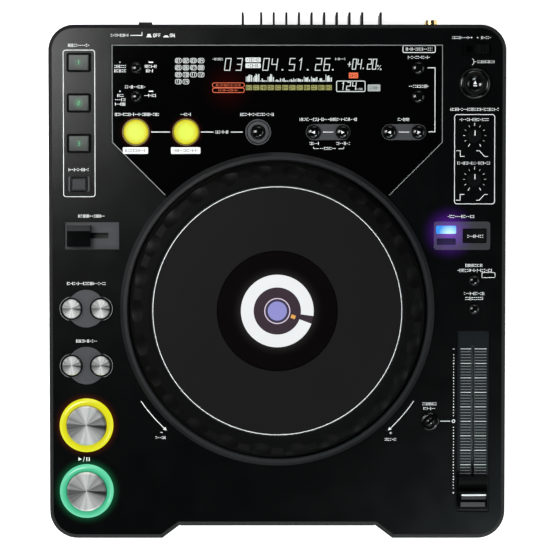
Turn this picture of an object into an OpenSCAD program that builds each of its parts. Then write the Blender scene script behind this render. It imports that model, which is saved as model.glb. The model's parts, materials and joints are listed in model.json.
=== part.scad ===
// Tabletop disc player with a large jog wheel, a tempo fader and a front disc slot.
// Millimetres, +Z up, +X to the user's right, +Y to the rear. The origin is the middle of the
// footprint, on the surface that the feet stand on.
// The deck slopes up to the rear. Everything on it is drawn in the deck's own frame, whose
// XY plane is the deck's top face, and placed by on_deck().

/* [Body] */
// Width of the body
body_w = 320; // [314:1:360]
// Depth of the body without the heat sink fins
body_d = 360; // [354:1:400]
// Height of the deck's front edge
front_h = 70; // [66:1:84]
// Height of the deck's rear edge
rear_h = 98; // [94:1:110]
// Radius of the two rear corners
rear_r = 18; // [8:1:26]
// Radius of the two front corners
front_r = 19.5; // [8:0.5:26]
// Bevel all round the deck's edge
edge_bevel = 2.6; // [1:0.2:4]
// Thickness of the deck plate
deck_t = 3; // [2.4:0.1:3.6]
// Thickness of the side walls
wall_t = 2.5; // [2:0.1:3.5]
// Height of the feet
foot_h = 8; // [5:0.5:12]
// Radius of one foot
foot_r = 13; // [8:0.5:16]
// Distance from the body's sides to the middle of a foot
foot_inset = 26; // [22:1:40]

/* [Front notch and disc slot] */
// Width of the notch at the front edge
notch_w = 162; // [150:1:180]
// Width of the notch at its rear wall
notch_inner_w = 138; // [136:1:148]
// Depth of the notch
notch_d = 9; // [6:0.5:12]
// Width of the disc slot
slot_w = 124; // [122:0.5:126]
// Height of the disc slot
slot_h = 5.4; // [5:0.1:7]
// Height of the slot's middle above the table
slot_z = 38; // [36:0.5:42]
// Width of the frame around the slot
lip_w = 3.5; // [2:0.5:5]

/* [Jog wheel] */
// Distance from the body's front edge to the jog's axis
jog_from_front = 161.1; // [158:0.5:168]
// Outer radius of the jog wheel
jog_r = 103; // [98:0.5:106]
// Height of the jog's top above the deck
jog_h = 15.1; // [12:0.1:17]
// Radius of the bearing post
post_r = 8; // [6:0.25:10]
// Radial play of the jog on its post
jog_play = 0.05; // [0.02:0.01:0.1]
// Outer radius of the touch plate
plate_r = 86.4; // [80:0.2:88]
// Width of the metal trim ring
trim_w = 1.3; // [0.8:0.1:2]
// Radius of the fixed centre display
display_r = 41.7; // [36:0.1:46]
// Width of the fixed collar around the jog
collar_w = 5.8; // [4:0.1:7]
// Height of the collar above the deck
collar_h = 5; // [3:0.5:7]
// Number of finger dimples
dimple_count = 26; // [18:1:30]
// Radius of the ball that cuts a dimple
dimple_ball_r = 20; // [12:1:26]
// Depth of a dimple
dimple_deep = 1.7; // [0.8:0.1:2.2]

/* [Display panel] */
// Half the width of the glossy panel
panel_half_w = 116; // [112:0.5:118]
// Thickness of the glossy panel
panel_t = 1.2; // [0.8:0.1:1.6]
// Width of the display window
window_w = 150; // [140:1:160]
// Depth of the display window, front to rear
window_d = 29; // [24:1:32]

/* [Keys] */
// Gap between a key and the hole it works in
key_gap = 0.4; // [0.3:0.05:0.6]
// Travel of a small key
key_travel = 1.5; // [0.8:0.1:2]
// Radius of the cue and play keys
transport_r = 13.8; // [11:0.1:15]
// Outer radius of the lit rings around the cue and play keys
ring_r = 18.8; // [17:0.1:20]
// Radius of the search keys
search_r = 6.6; // [5:0.1:7]
// Radius of the loop keys
loop_r = 8.2; // [6:0.1:9]
// Width of a hot cue key
hot_w = 13.5; // [10:0.1:15]
// Depth of a hot cue key, front to rear
hot_d = 10.3; // [8:0.1:11]
// Spacing of the hot cue keys
hot_pitch = 28.25; // [22:0.25:29]

/* [Tempo fader] */
// Travel of the fader
fader_travel = 100; // [60:1:100]
// Width of the fader cap
fader_cap_w = 20; // [16:0.5:21]
// Length of the fader cap
fader_cap_d = 24; // [18:0.5:26]
// Height of the fader cap above the deck
fader_cap_h = 10; // [7:0.5:13]
// Width of the fader's slot
fader_slot_w = 2.2; // [1.8:0.1:3]
// Width of the recessed fader plate
fader_plate_w = 22; // [21:0.5:26]

/* [Lever, lock switch and knobs] */
// Travel of the direction lever
lever_travel = 18; // [10:0.5:19]
// Travel of the lock switch
lock_travel = 9; // [5:0.5:10]
// Radius of the two speed-adjust knobs
knob_r = 5; // [4:0.1:5.6]
// Height of the two knobs above the deck
knob_h = 6; // [4:0.5:9]

/* [Rear] */
// How far the heat sink fins stand out from the body
fin_len = 10; // [6:0.5:14]
// Spacing of the nine inner fins
fin_pitch = 8.9; // [7:0.1:9.4]
// Spacing of the outermost fins from the inner ones
fin_end_pitch = 13; // [10:0.5:14]
// Thickness of one fin
fin_t = 1.5; // [1:0.1:2.2]
// Radius of a phono jack's barrel
jack_r = 4.15; // [4:0.05:4.3]
// Spacing of the phono jacks
jack_pitch = 16; // [14:0.5:18]
// Radius of the control jack's bore
mini_r = 1.78; // [1.75:0.01:1.85]

/* [Disc drive] */
// Radius of the turntable hub
hub_r = 14; // [11:0.5:16]
// Travel of the pickup
pickup_travel = 35; // [20:1:36]
// Radius of the guide rods
rod_r = 1.5; // [1.2:0.1:2]
// Radius of the loading roller
roller_r = 4; // [3:0.25:4.5]

/* [Hidden] */
$fn = 64;

// Clearance between two fixed pieces, and overshoot of a cut
fit = 0.2;
over = 1;

// Straight pieces in one rounded corner of the body's outline
corner_steps = 16;

// Sheet metal of the floor and of the rear panel
sheet_t = 1.5;

front_y = -(body_d + fin_len) / 2;
rear_y = front_y + body_d;
tilt = atan((rear_h - front_h) / body_d);
deck_z = front_h - front_y * tan(tilt);
jog_y = jog_from_front + front_y;

// Columns and rows of the deck, tied to the edge that they follow
left_x = -body_w / 2;
right_x = body_w / 2;
hot_x = left_x + 21.4;
transport_x = left_x + 26.1;
fader_x = right_x - 22.5;
panel_rear = rear_y - 13.3;
panel_side_front = panel_rear - 68.8;
window_y = panel_rear - 21.4;
row_1 = panel_rear - 16.6;
row_2 = panel_rear - 36.6;
row_3 = panel_rear - 61.3;
eject_pos = [right_x - 22, panel_rear - 27.5];
lock_pos = [right_x - 21.1, panel_rear - 3.4];
brake_pos = [right_x - 22.1, panel_rear - 63.8];
start_pos = [right_x - 22.1, panel_rear - 94.4];
jog_mode_pos = [right_x - 21.9, jog_y + 51.6];
jog_mode_plate_pos = [right_x - 30.7, jog_y + 51.7];
direction_pos = [left_x + 30.2, jog_y + 51.7];
rec_pos = [hot_x, row_1 - 81.1];
track_pos = [transport_x, jog_y + 0.5];
search_pos = [transport_x, jog_y - 39.6];
cue_pos = [transport_x, front_y + 79.5];
play_pos = [transport_x, front_y + 33];
fader_y = front_y + 82;
reset_pos = [fader_x - 30.3, fader_y];
reloop_x = -13.4;
loop_x = [-98.8, -63.8];
pair_pitch = 20.3;
wave_x = 35.5;
call_x = 88.5;
mode_x = 98.4;

// Radii of the smaller round keys
tiny_r = 3.6;
memory_r = 4.4;
pair_r = 4.6;
reloop_r = 4.2;
eject_r = 5.8;
reset_r = 3.2;

// Heights of the keys above the deck
flat_h = 2.2;
raised_h = 3.6;
transport_h = 6.5;
ring_h = 4.4;
collar_top_h = 2;

// Each round key: name, x, y, radius, height above the deck, colour
ROUND_KEYS = [
    ["time_mode_button", -mode_x, row_1, tiny_r, flat_h, "black"],
    ["display_mode_button", -mode_x, row_2, tiny_r, flat_h, "black"],
    ["memory_button", mode_x, row_1, memory_r, flat_h, "black"],
    ["delete_button", mode_x, row_2, memory_r, flat_h, "black"],
    ["loop_in_button", loop_x[0], row_3, loop_r, flat_h, "yellow"],
    ["loop_out_button", loop_x[1], row_3, loop_r, flat_h, "yellow"],
    ["reloop_button", reloop_x, row_3, reloop_r, raised_h, "dimgray"],
    ["wave_back_button", wave_x - pair_pitch / 2, row_3, pair_r, raised_h, "black"],
    ["wave_forward_button", wave_x + pair_pitch / 2, row_3, pair_r, raised_h, "black"],
    ["call_back_button", call_x - pair_pitch / 2, row_3, pair_r, raised_h, "black"],
    ["call_forward_button", call_x + pair_pitch / 2, row_3, pair_r, raised_h, "black"],
    ["eject_button", eject_pos[0], eject_pos[1], eject_r, raised_h, "black"],
    ["tempo_range_button", right_x - 22, jog_y + 20.1, tiny_r, flat_h, "black"],
    ["master_tempo_button", right_x - 22, jog_y, tiny_r, flat_h, "black"],
    ["tempo_reset_button", reset_pos[0], reset_pos[1], reset_r, raised_h, "black"],
    ["track_back_button", track_pos[0] - pair_pitch / 2, track_pos[1], search_r, raised_h, "silver"],
    ["track_forward_button", track_pos[0] + pair_pitch / 2, track_pos[1], search_r, raised_h, "silver"],
    ["search_back_button", search_pos[0] - pair_pitch / 2, search_pos[1], search_r, raised_h, "silver"],
    ["search_forward_button", search_pos[0] + pair_pitch / 2, search_pos[1], search_r, raised_h, "silver"],
    ["cue_button", cue_pos[0], cue_pos[1], transport_r, transport_h, "silver"],
    ["play_button", play_pos[0], play_pos[1], transport_r, transport_h, "silver"]
];

// Keys: flange that holds a key under the deck, stem that reaches its switch
flange_w = 1.6;
flange_t = 1.2;
flange_gap = 0.4;
stem_r = 1.8;
stem_end = -deck_t - 4.8;
board_top = stem_end - key_travel - 0.4;
board_t = 1.6;

// Square keys
hot_bezel = [16.9, 13.3];
rec_size = [9.3, 7.5];
rec_bezel = [14.7, 10.5];
mode_size = [15.9, 9.4];
mode_plate = [39.4, 19.8];

// Fader
fader_plate_d = fader_travel + 27.5;
fader_plate_t = 1.2;
fader_sink = 1.2;
fader_gap = 0.3;
tongue_t = 1.4;
tongue_d = 5;
channel_w = 3.2;

// Lever and lock switch
pocket_t = 1.6;
pocket_r = 1.8;
lever_size = [16.4, 14.8];
lever_pocket = [lever_size[0] + lever_travel + 4, 19.3];
lever_rest_x = direction_pos[0] - lever_travel / 2;
lock_size = [8.4, 6.6];
lock_pocket = [lock_size[0] + lock_travel + 3.4, 8.7];
lock_rest_x = lock_pos[0] + lock_travel / 2;
pin_w = 3;

// Jog, measured upwards from the deck
web_low = 5;
web_high = 7;
shelf_h = jog_h - 2.2;
display_low = shelf_h - 1.2;
jog_gap = 1.3;
jog_hole_r = 60;
base_flange_r = 68;
base_t = 2.5;
encoder_r = 30;
encoder_t = 0.8;
encoder_low = 1.2;

// Lower lip of the front wall
lip_h = 14;
lip_d = 3;

// Rear panel and what stands in it
panel_gap = 0.2;
rear_panel_y = rear_y - wall_t - panel_gap;
rear_panel_w = body_w - 2 * rear_r - 2;
rear_window_w = rear_panel_w - 6;
rear_window_z = [14, 80];
sink_x = 24.2;
sink_z = [22, 74];
jack_x = 109;
jack_z = 26;
jack_bore_r = 1.7;
jack_len = rear_y + 5.2 - rear_panel_y;
mini_pos = [88, 34];
mini_barrel_r = mini_r + 2;
inlet_pos = [-124, 36];
inlet_size = [26, 15];
inlet_cavity = [20, 8.8];
inlet_deep = 11;
power_pos = [-93, 60];
power_w = 9.4;
power_travel = 2.5;

// Disc drive, in the body's own frame
tray_z = foot_h + 14;
tray_t = 1.5;
tray_half_w = 68;
disc_r = 60;
disc_z = slot_z - 0.6;
disc_y = front_y + notch_d + wall_t + disc_r + 6;
tray_front = disc_y - 62;
tray_rear = disc_y + 88;
roller_y = front_y + notch_d + wall_t + 10;
rod_x = 26;
rod_z = slot_z - 10;
rod_front = disc_y + 12.5;
rod_rear = disc_y + 83;
screw_r = 2;
screw_x = rod_x + 12;
pickup_d = 26;
pickup_front = disc_y + 16.5;
shaft_r = 1.5;
shaft_play = 0.05;
board_z = slot_z + 10;

module on_deck() {
    translate([0, 0, deck_z]) rotate([tilt, 0, 0]) children();
}

// Outline of the body seen from above, moved in by inset
module body_plan(inset) {
    half = body_w / 2 - inset;
    front = front_y + inset;
    rear = rear_y - inset;
    rf = front_r - inset;
    rr = rear_r - inset;
    translate([-half, front + rf]) square([2 * half, rear - front - rf - rr]);
    translate([-half + rf, front]) square([2 * (half - rf), rf + over]);
    translate([-half + rr, rear - rr - over]) square([2 * (half - rr), rr + over]);
    for (side = [-1, 1]) {
        translate([side * (half - rf), front + rf]) circle(rf);
        translate([side * (half - rr), rear - rr]) circle(rr);
    }
}

// The same outline as a ring of points, with its height from level(y)
function corner(x, y, r, start) = [for (i = [0:corner_steps])
    let (a = start + 90 * i / corner_steps) [x + r * cos(a), y + r * sin(a)]];

function plan_ring(inset) =
    let (half = body_w / 2, rf = front_r, rr = rear_r)
    concat(
        corner(half - rf, front_y + rf, rf - inset, 270),
        corner(half - rr, rear_y - rr, rr - inset, 0),
        corner(rr - half, rear_y - rr, rr - inset, 90),
        corner(rf - half, front_y + rf, rf - inset, 180)
    );

// Plan of the front notch, grown into the body
function notch_ring(grow) =
    let (
        side = (notch_w - notch_inner_w) / 2,
        rear = front_y + notch_d + grow,
        rear_half = notch_inner_w / 2 + grow * tan(atan2(notch_d, side) / 2),
        front_half = rear_half + (rear - front_y + over) * side / notch_d
    )
    [[-front_half, front_y - over], [front_half, front_y - over], [rear_half, rear], [-rear_half, rear]];

function level(plan, z) = [for (p = plan) [p[0], p[1], z]];

function along_deck(plan, above) = [for (p = plan) [p[0], p[1], deck_z + p[1] * tan(tilt) + above]];

// A closed solid through rings of equal count, from the lowest to the highest
module ring_solid(rings) {
    n = len(rings[0]);
    top = (len(rings) - 1) * n;
    sides = [for (k = [0:len(rings) - 2]) for (i = [0:n - 1])
        let (a = k * n + i, b = k * n + (i + 1) % n) [a, a + n, b + n, b]];
    polyhedron([for (ring = rings) each ring],
        concat([[for (i = [0:n - 1]) i]], sides, [[for (i = [n - 1:-1:0]) top + i]]));
}

module body_block() {
    ring_solid([level(plan_ring(0), foot_h), along_deck(plan_ring(0), -edge_bevel),
        along_deck(plan_ring(edge_bevel), 0)]);
}

// The notch, whose edges have the deck's bevel
module notch() {
    ring_solid([level(notch_ring(0), foot_h - over), along_deck(notch_ring(0), -edge_bevel),
        along_deck(notch_ring(edge_bevel + over), over)]);
}

module body_cavity() {
    difference() {
        ring_solid([level(plan_ring(wall_t), foot_h - over), along_deck(plan_ring(wall_t), -deck_t)]);
        ring_solid([level(notch_ring(wall_t), foot_h - 2 * over), along_deck(notch_ring(wall_t), over)]);
    }
}

// A block centred on pos, from low to high
module block(pos, size, low, high) {
    translate([pos[0] - size[0] / 2, pos[1] - size[1] / 2, low]) cube([size[0], size[1], high - low]);
}

// The same block with its four upright edges rounded
module soft_block(pos, size, r, low, high) {
    block(pos, size - [2 * r, 0], low, high);
    block(pos, size - [0, 2 * r], low, high);
    for (x = [-1, 1]) for (y = [-1, 1])
        disc(pos + [x * (size[0] / 2 - r), y * (size[1] / 2 - r)], r, low, high);
}

module disc(pos, r, low, high) {
    translate([pos[0], pos[1], low]) cylinder(r = r, h = high - low);
}

// A bar with round ends, along X
module capsule(pos, size, low, high) {
    end = size[1] / 2;
    block(pos, [size[0] - size[1], size[1]], low, high);
    for (side = [-1, 1]) disc([pos[0] + side * (size[0] / 2 - end), pos[1]], end, low, high);
}

// A cylinder along Y from front to rear
module rod_y(x, z, r, front, rear) {
    translate([x, rear, z]) rotate([90, 0, 0]) cylinder(r = r, h = rear - front);
}

// Holes for the keys, wider than each key by the key gap
module round_key_holes() {
    for (key = ROUND_KEYS) disc([key[1], key[2]], key[3] + key_gap, -deck_t - over, over + collar_top_h);
}

module square_key_hole(pos, size) {
    gap = [2 * key_gap, 2 * key_gap];
    block(pos, size + gap, -deck_t - over, over + collar_top_h);
}

module square_key_holes() {
    for (i = [1:3]) square_key_hole(hot_pos(i), [hot_w, hot_d]);
    square_key_hole(rec_pos, rec_size);
    square_key_hole(jog_mode_pos, mode_size);
}

function hot_pos(i) = [hot_x, row_1 + 3.9 - (i - 1) * hot_pitch];

// Shallow pocket with a slot for the pin of a lever that slides along X
module lever_cut(pos, pocket, rest_x, travel, direction) {
    soft_block(pos, pocket, pocket_r, -pocket_t, over);
    middle = rest_x + direction * travel / 2;
    block([middle, pos[1]], [travel + pin_w + 2, pin_w + 1], -deck_t - over, 0);
}

module panel_plan(grow) {
    w = panel_half_w + grow;
    rear = panel_rear + grow;
    side = panel_side_front - grow;
    inward = panel_side_front - jog_y - 70;
    polygon([[-w, rear], [w, rear], [w, side], [w - inward, side - inward],
        [-w + inward, side - inward], [-w, side]]);
}

module panel_shape(grow, low, high) {
    difference() {
        translate([0, 0, low]) linear_extrude(high - low) panel_plan(grow);
        disc([0, jog_y], collar_outer_r() + fit - grow, low - over, high + over);
    }
}

function collar_outer_r() = jog_r + jog_gap + collar_w;

// Lower lip of the front wall, which stands out into the notch
module front_lip() {
    half = notch_inner_w / 2;
    translate([-half, front_y + notch_d - lip_d, foot_h]) cube([2 * half, lip_d + wall_t / 2, lip_h]);
}

module top_cover() {
    color("#141516") difference() {
        union() {
            difference() {
                body_block();
                notch();
            }
            front_lip();
        }
        body_cavity();
        on_deck() {
            disc([0, jog_y], jog_hole_r, -deck_t - over, over);
            panel_shape(fit, -panel_t + fit, over);
            block([0, window_y], [window_w + 2 * fit, window_d + 2 * fit], -deck_t - over, over);
            round_key_holes();
            square_key_holes();
            lever_cut(direction_pos, lever_pocket, lever_rest_x, lever_travel, 1);
            lever_cut(lock_pos, lock_pocket, lock_rest_x, lock_travel, -1);
            fader_cut = [fader_plate_w + 2 * fit, fader_plate_d + 2 * fit];
            block([fader_x, fader_y], fader_cut, -fader_sink - fader_plate_t, over);
            block([fader_x, fader_y], [fader_plate_w - 8, fader_travel + 12], -deck_t - over, over);
            for (pos = [brake_pos, start_pos]) disc(pos, knob_r / 2 + key_gap, -deck_t - over, over);
        }
        rear_cut = [rear_window_w, 2 * wall_t + 2 * over];
        block([0, rear_y], rear_cut, rear_window_z[0], rear_window_z[1]);
        lips = [slot_w + 2 * lip_w + 2 * fit, 6 * wall_t];
        half_h = slot_h / 2 + lip_w + fit;
        block([0, front_y + notch_d], lips, slot_z - half_h, slot_z + half_h);
    }
}

module bottom_chassis() {
    color("#8a8d90") translate([0, 0, foot_h]) linear_extrude(sheet_t) difference() {
        body_plan(wall_t + 2 * fit);
        polygon(notch_ring(wall_t + 2 * fit));
    }
}

// Upright sheet behind the cover's rear window, which carries the sockets and the heat sink
module rear_panel() {
    low = foot_h + sheet_t;
    color("#7c7f82") difference() {
        block([0, rear_panel_y - sheet_t / 2], [rear_panel_w, sheet_t], low, rear_window_z[1] + 4);
        for (i = [0:2]) rod_y(jack_x, jack_z + i * jack_pitch, jack_r + fit, rear_panel_y - 5, rear_y);
        rod_y(mini_pos[0], mini_pos[1], mini_barrel_r + fit, rear_panel_y - 5, rear_y);
        translate([power_pos[0], rear_panel_y, power_pos[1]])
            cube([power_w + 2 * key_gap, 4 * sheet_t, power_w + 2 * key_gap], center = true);
        translate([inlet_pos[0], rear_panel_y, inlet_pos[1]])
            cube([inlet_size[0] + fit, 4 * sheet_t, inlet_size[1] + fit], center = true);
    }
}

module feet() {
    color("#202020") for (x = [left_x + foot_inset, right_x - foot_inset])
        for (y = [front_y + foot_inset + 4, rear_y - foot_inset]) translate([x, y, 0]) {
            cylinder(r1 = foot_r - 1, r2 = foot_r, h = 2);
            translate([0, 0, 2]) cylinder(r = foot_r, h = foot_h - 2);
        }
}

module display_panel() {
    color("#060607") on_deck() difference() {
        panel_shape(0, -panel_t + fit, fit);
        block([0, window_y], [window_w + 2 * fit, window_d + 2 * fit], -deck_t, over);
        round_key_holes();
    }
}

module display_module() {
    color("#0b0e10") on_deck() block([0, window_y], [window_w, window_d], board_top, 0);
}

module slot_lips() {
    color("#2a2b2d") {
        depth = wall_t + 1.5;
        difference() {
            translate([0, front_y + notch_d - 1.5 + depth / 2, slot_z])
                cube([slot_w + 2 * lip_w, depth, slot_h + 2 * lip_w], center = true);
            translate([0, front_y + notch_d, slot_z]) cube([slot_w, 4 * depth, slot_h], center = true);
        }
    }
}

module jog_collar() {
    outer = collar_outer_r();
    inner = jog_r + jog_gap;
    color("#33363a") on_deck() translate([0, jog_y, 0]) rotate_extrude($fn = 128)
        polygon([[inner, 0], [outer, 0], [outer, 1.5], [outer - 2.4, collar_h], [inner + 1, collar_h],
            [inner, collar_h - 1]]);
}

// Bearing post on a base plate under the deck, with the fork of the turn sensor
module jog_base() {
    plate_top = -deck_t;
    color("#6d7073") on_deck() translate([0, jog_y, 0]) {
        rotate_extrude() polygon([[post_r - 3, plate_top - base_t], [base_flange_r, plate_top - base_t],
            [base_flange_r, plate_top], [post_r + 6, plate_top], [post_r, plate_top + 3],
            [post_r, display_low], [post_r - 3, display_low]]);
        fork_low = plate_top - fit;
        difference() {
            block([0, encoder_r + 2], [10, 12], fork_low, web_low - 1);
            block([0, encoder_r - 2], [12, 9], encoder_low - 0.6, encoder_low + encoder_t + 0.6);
        }
    }
}

module jog_wheel() {
    bore = post_r + jog_play;
    seat = plate_r + fit + trim_w + fit;
    hub = bore + 6;
    inner_ring = display_r + 1.5;
    shoulder = [jog_r - 2.4, jog_h - 2.2];
    slope = atan(2.2 / 4.6);
    lift = dimple_ball_r - dimple_deep;
    dimple_at = [jog_r - 5 + lift * sin(slope), jog_h - 1 + lift * cos(slope)];
    color("#101112") on_deck() translate([0, jog_y, 0]) difference() {
        rotate_extrude($fn = 128) polygon([[bore, encoder_low + encoder_t], [hub, encoder_low + encoder_t],
            [hub, web_low], [seat - 3, web_low], [seat - 3, shelf_h - 2.7], [jog_r - 6, shelf_h - 2.7],
            [jog_r - 2, web_high], [jog_r - 2, 1], [jog_r, 1], [jog_r, shelf_h - 4.2], shoulder,
            [jog_r - 7, jog_h], [seat + 2, jog_h], [seat, jog_h - 0.3], [seat, shelf_h], [seat - 5, shelf_h],
            [seat - 5, web_high], [inner_ring + 3, web_high], [inner_ring + 3, shelf_h],
            [inner_ring, shelf_h], [inner_ring, web_high], [hub, web_high], [hub, web_high + 1.5],
            [bore, web_high + 1.5]]);
        for (i = [1:dimple_count]) rotate(i * 360 / dimple_count)
            translate([dimple_at[0], 0, dimple_at[1]]) sphere(dimple_ball_r);
    }
}

module jog_plate() {
    color("#1d1d1e") on_deck() difference() {
        disc([0, jog_y], plate_r, shelf_h, shelf_h + 1.5, $fn = 128);
        disc([0, jog_y], display_r + 0.5, shelf_h - over, jog_h);
    }
}

module jog_trim() {
    inner = plate_r + fit;
    color("#c9ccd0") on_deck() difference() {
        disc([0, jog_y], inner + trim_w, shelf_h, jog_h - 0.1);
        disc([0, jog_y], inner, shelf_h - over, jog_h + over);
    }
}

module encoder_disc() {
    slots = 20;
    color("#303030") on_deck() difference() {
        disc([0, jog_y], encoder_r, encoder_low, encoder_low + encoder_t);
        disc([0, jog_y], post_r + 1, encoder_low - over, web_low);
        translate([0, jog_y, 0]) for (i = [1:slots]) rotate(i * 360 / slots)
            block([encoder_r - 3.5, 0], [4, 1.6], encoder_low - over, web_low);
    }
}

module jog_display() {
    color("#0a0a0c") on_deck() {
        disc([0, jog_y], display_r, display_low, shelf_h + 1.3);
        disc([0, jog_y], post_r - 3 - fit, display_low - 6, display_low + over);
    }
}

// Lit ring around a transport key
module ring_lens(pos) {
    inner = transport_r + key_gap;
    on_deck() translate([pos[0], pos[1], 0]) rotate_extrude()
        polygon([[inner, 0], [ring_r, 0], [ring_r, ring_h - 1.6], [ring_r - 1.4, ring_h - 0.3],
            [ring_r - 2.4, ring_h], [inner + 0.8, ring_h], [inner, ring_h - 0.8]]);
}

module cue_ring() {
    color("#e8e030") ring_lens(cue_pos);
}

module play_ring() {
    color("#7fe8b0") ring_lens(play_pos);
}

module search_collar(pos) {
    disc(pos, 13.2, 0, 1.2);
    for (side = [-1, 1]) disc([pos[0] + side * pair_pitch / 2, pos[1]], search_r + 1.9, 0, collar_top_h);
}

// Collars, pads and bezels that stand on the deck around the keys
module button_collars() {
    color("#3a3c3f") on_deck() difference() {
        union() {
            search_collar(track_pos);
            search_collar(search_pos);
            disc([reloop_x, row_3], 9, fit, collar_top_h);
            disc(eject_pos, 10.7, 0, collar_top_h);
            disc(reset_pos, 6.3, 0, 1.4);
            for (x = loop_x) disc([x, row_3], loop_r + 1.3, fit, 1.4);
            for (x = [wave_x, call_x]) capsule([x, row_3], [31.2, 11.1], fit, 1.4);
            for (i = [1:3]) soft_block(hot_pos(i), hot_bezel, 1.2, 0, 1.6);
            soft_block(rec_pos, rec_bezel, 1.2, 0, 1.6);
            soft_block(jog_mode_plate_pos, mode_plate, pocket_r, 0, 0.8);
        }
        round_key_holes();
        square_key_holes();
    }
}

module fader_plate() {
    low = -fader_sink - fader_plate_t;
    color("#22262c") on_deck() difference() {
        block([fader_x, fader_y], [fader_plate_w, fader_plate_d], low, -fader_sink);
        block([fader_x, fader_y], [fader_slot_w, fader_travel + tongue_d + 2], low - over, 0);
    }
}

module fader_body() {
    channel = fader_travel + tongue_d + 2;
    low = -deck_t - 11;
    color("#9a9da0") on_deck() difference() {
        block([fader_x, fader_y], [11, channel + 8], low, -deck_t - fit);
        block([fader_x, fader_y], [channel_w, channel], low + 2, 0);
    }
}

// The cap rests at the front end of its travel. Its ridge dips to a finger groove on each side.
module tempo_slider() {
    rest = [fader_x, fader_y - fader_travel / 2];
    low = -fader_sink + fader_gap;
    half = fader_cap_d / 2;
    color("#0c0c0d") on_deck() {
        translate([rest[0] - fader_cap_w / 2, rest[1], 0]) rotate([90, 0, 90]) linear_extrude(fader_cap_w)
            polygon([[-half, low], [half, low], [half, fader_cap_h - 3], [half - 1.2, fader_cap_h - 1.6],
                [half - 3, fader_cap_h - 1.6], [3.4, fader_cap_h - 4], [1.6, fader_cap_h],
                [-1.6, fader_cap_h], [-3.4, fader_cap_h - 4], [-half + 3, fader_cap_h - 1.6],
                [-half + 1.2, fader_cap_h - 1.6], [-half, fader_cap_h - 3]]);
        block(rest, [tongue_t, tongue_d], -deck_t - 7, 0);
    }
}

// A lever cap with ribs across it, and the pin that passes through the deck
module sliding_cap(x, y, size, high, ribs) {
    low = -pocket_t + 0.3;
    pitch = size[0] / (ribs + 1);
    block([x, y], size, low, high - 1);
    for (i = [1:ribs]) block([x - size[0] / 2 + i * pitch, y], [pitch / 2, size[1]], high - 1 - fit, high);
    block([x, y], [pin_w, pin_w], stem_end, low + fit);
}

module direction_lever() {
    color("#161718") on_deck() sliding_cap(lever_rest_x, direction_pos[1], lever_size, 6, 5);
}

module lock_switch() {
    color("#161718") on_deck() sliding_cap(lock_rest_x, lock_pos[1], lock_size, 3, 3);
}

module speed_knob(pos) {
    on_deck() difference() {
        union() {
            disc(pos, knob_r, 0.4, knob_h - 1);
            disc(pos, knob_r - 0.7, knob_h - 1 - fit, knob_h);
            disc(pos, knob_r / 2, stem_end, over);
        }
        block([pos[0], pos[1] + knob_r / 2], [0.9, knob_r - 1], knob_h - 0.6, knob_h + over);
    }
}

module brake_knob() {
    color("#111111") speed_knob(brake_pos);
}

module start_knob() {
    color("#111111") speed_knob(start_pos);
}

// What holds every key under the deck, and its stem down to the switch
module key_foot(pos) {
    disc(pos, stem_r, stem_end, -deck_t - flange_gap);
}

module round_key(key) {
    pos = [key[1], key[2]];
    r = key[3];
    top = key[4];
    bevel = r / 12;
    color(key[5]) on_deck() {
        translate([pos[0], pos[1], 0]) rotate_extrude()
            polygon([[0, -deck_t - flange_gap - flange_t], [r + flange_w, -deck_t - flange_gap - flange_t],
                [r + flange_w, -deck_t - flange_gap], [r, -deck_t - flange_gap], [r, top - bevel],
                [r - bevel, top], [0, top]]);
        key_foot(pos);
    }
}

module square_key(pos, size, high) {
    wide = [2 * flange_w, 2 * flange_w];
    on_deck() {
        block(pos, size, -deck_t - flange_gap - fit, high - 0.5);
        block(pos, size - [1, 1], high - 0.5 - fit, high);
        block(pos, size + wide, -deck_t - flange_gap - flange_t, -deck_t - flange_gap);
        key_foot(pos);
    }
}

module hot_cue_button(i) {
    color("#4c5f55") square_key(hot_pos(i), [hot_w, hot_d], 3);
}

module rec_mode_button() {
    color("#55585a") square_key(rec_pos, rec_size, 3);
}

module jog_mode_button() {
    color("#2c2e30") square_key(jog_mode_pos, mode_size, 2);
}

module power_button() {
    inner = rear_panel_y - sheet_t - 8;
    outer = rear_y + 3.5;
    color("#181818") {
        translate([power_pos[0], (inner + outer) / 2, power_pos[1]])
            cube([power_w, outer - inner, power_w], center = true);
        rod_y(power_pos[0], power_pos[1], 2, inner - 6, inner + over);
    }
}

module heat_sink() {
    high = sink_z[1] - sink_z[0];
    color("#17181a") {
        inner_half = 4 * fin_pitch;
        edge = inner_half + fin_end_pitch;
        translate([sink_x - edge - 4, rear_panel_y, sink_z[0]])
            cube([2 * edge + 8, rear_y - rear_panel_y, high]);
        for (i = [-5:5]) {
            outermost = abs(i) == 5;
            x = outermost ? sign(i) * edge : i * fin_pitch;
            translate([sink_x + x - fin_t / 2, rear_y - over, sink_z[0]])
                cube([fin_t, fin_len + over, high]);
        }
    }
}

// A socket in the rear panel. Its barrel ends and its bore starts at these distances from the panel.
module socket(x, z, bore_r, barrel_r, barrel_end, bore_start) {
    inside = rear_panel_y - sheet_t;
    flange_r = barrel_r + 0.9;
    difference() {
        union() {
            rod_y(x, z, barrel_r, inside - over, rear_panel_y + barrel_end);
            rod_y(x, z, flange_r, rear_panel_y + fit, rear_panel_y + 1.2);
            rod_y(x, z, flange_r, inside - 14, inside - fit);
        }
        rod_y(x, z, bore_r, rear_panel_y + bore_start, rear_panel_y + barrel_end + over);
    }
}

// Three phono jacks one above the other, and the socket for the control cable
module rear_jacks() {
    color("#c8a24a") {
        for (i = [0:2])
            socket(jack_x, jack_z + i * jack_pitch, jack_bore_r, jack_r, jack_len, -6);
        socket(mini_pos[0], mini_pos[1], mini_r, mini_barrel_r, 1.8, -13);
    }
}

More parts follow.
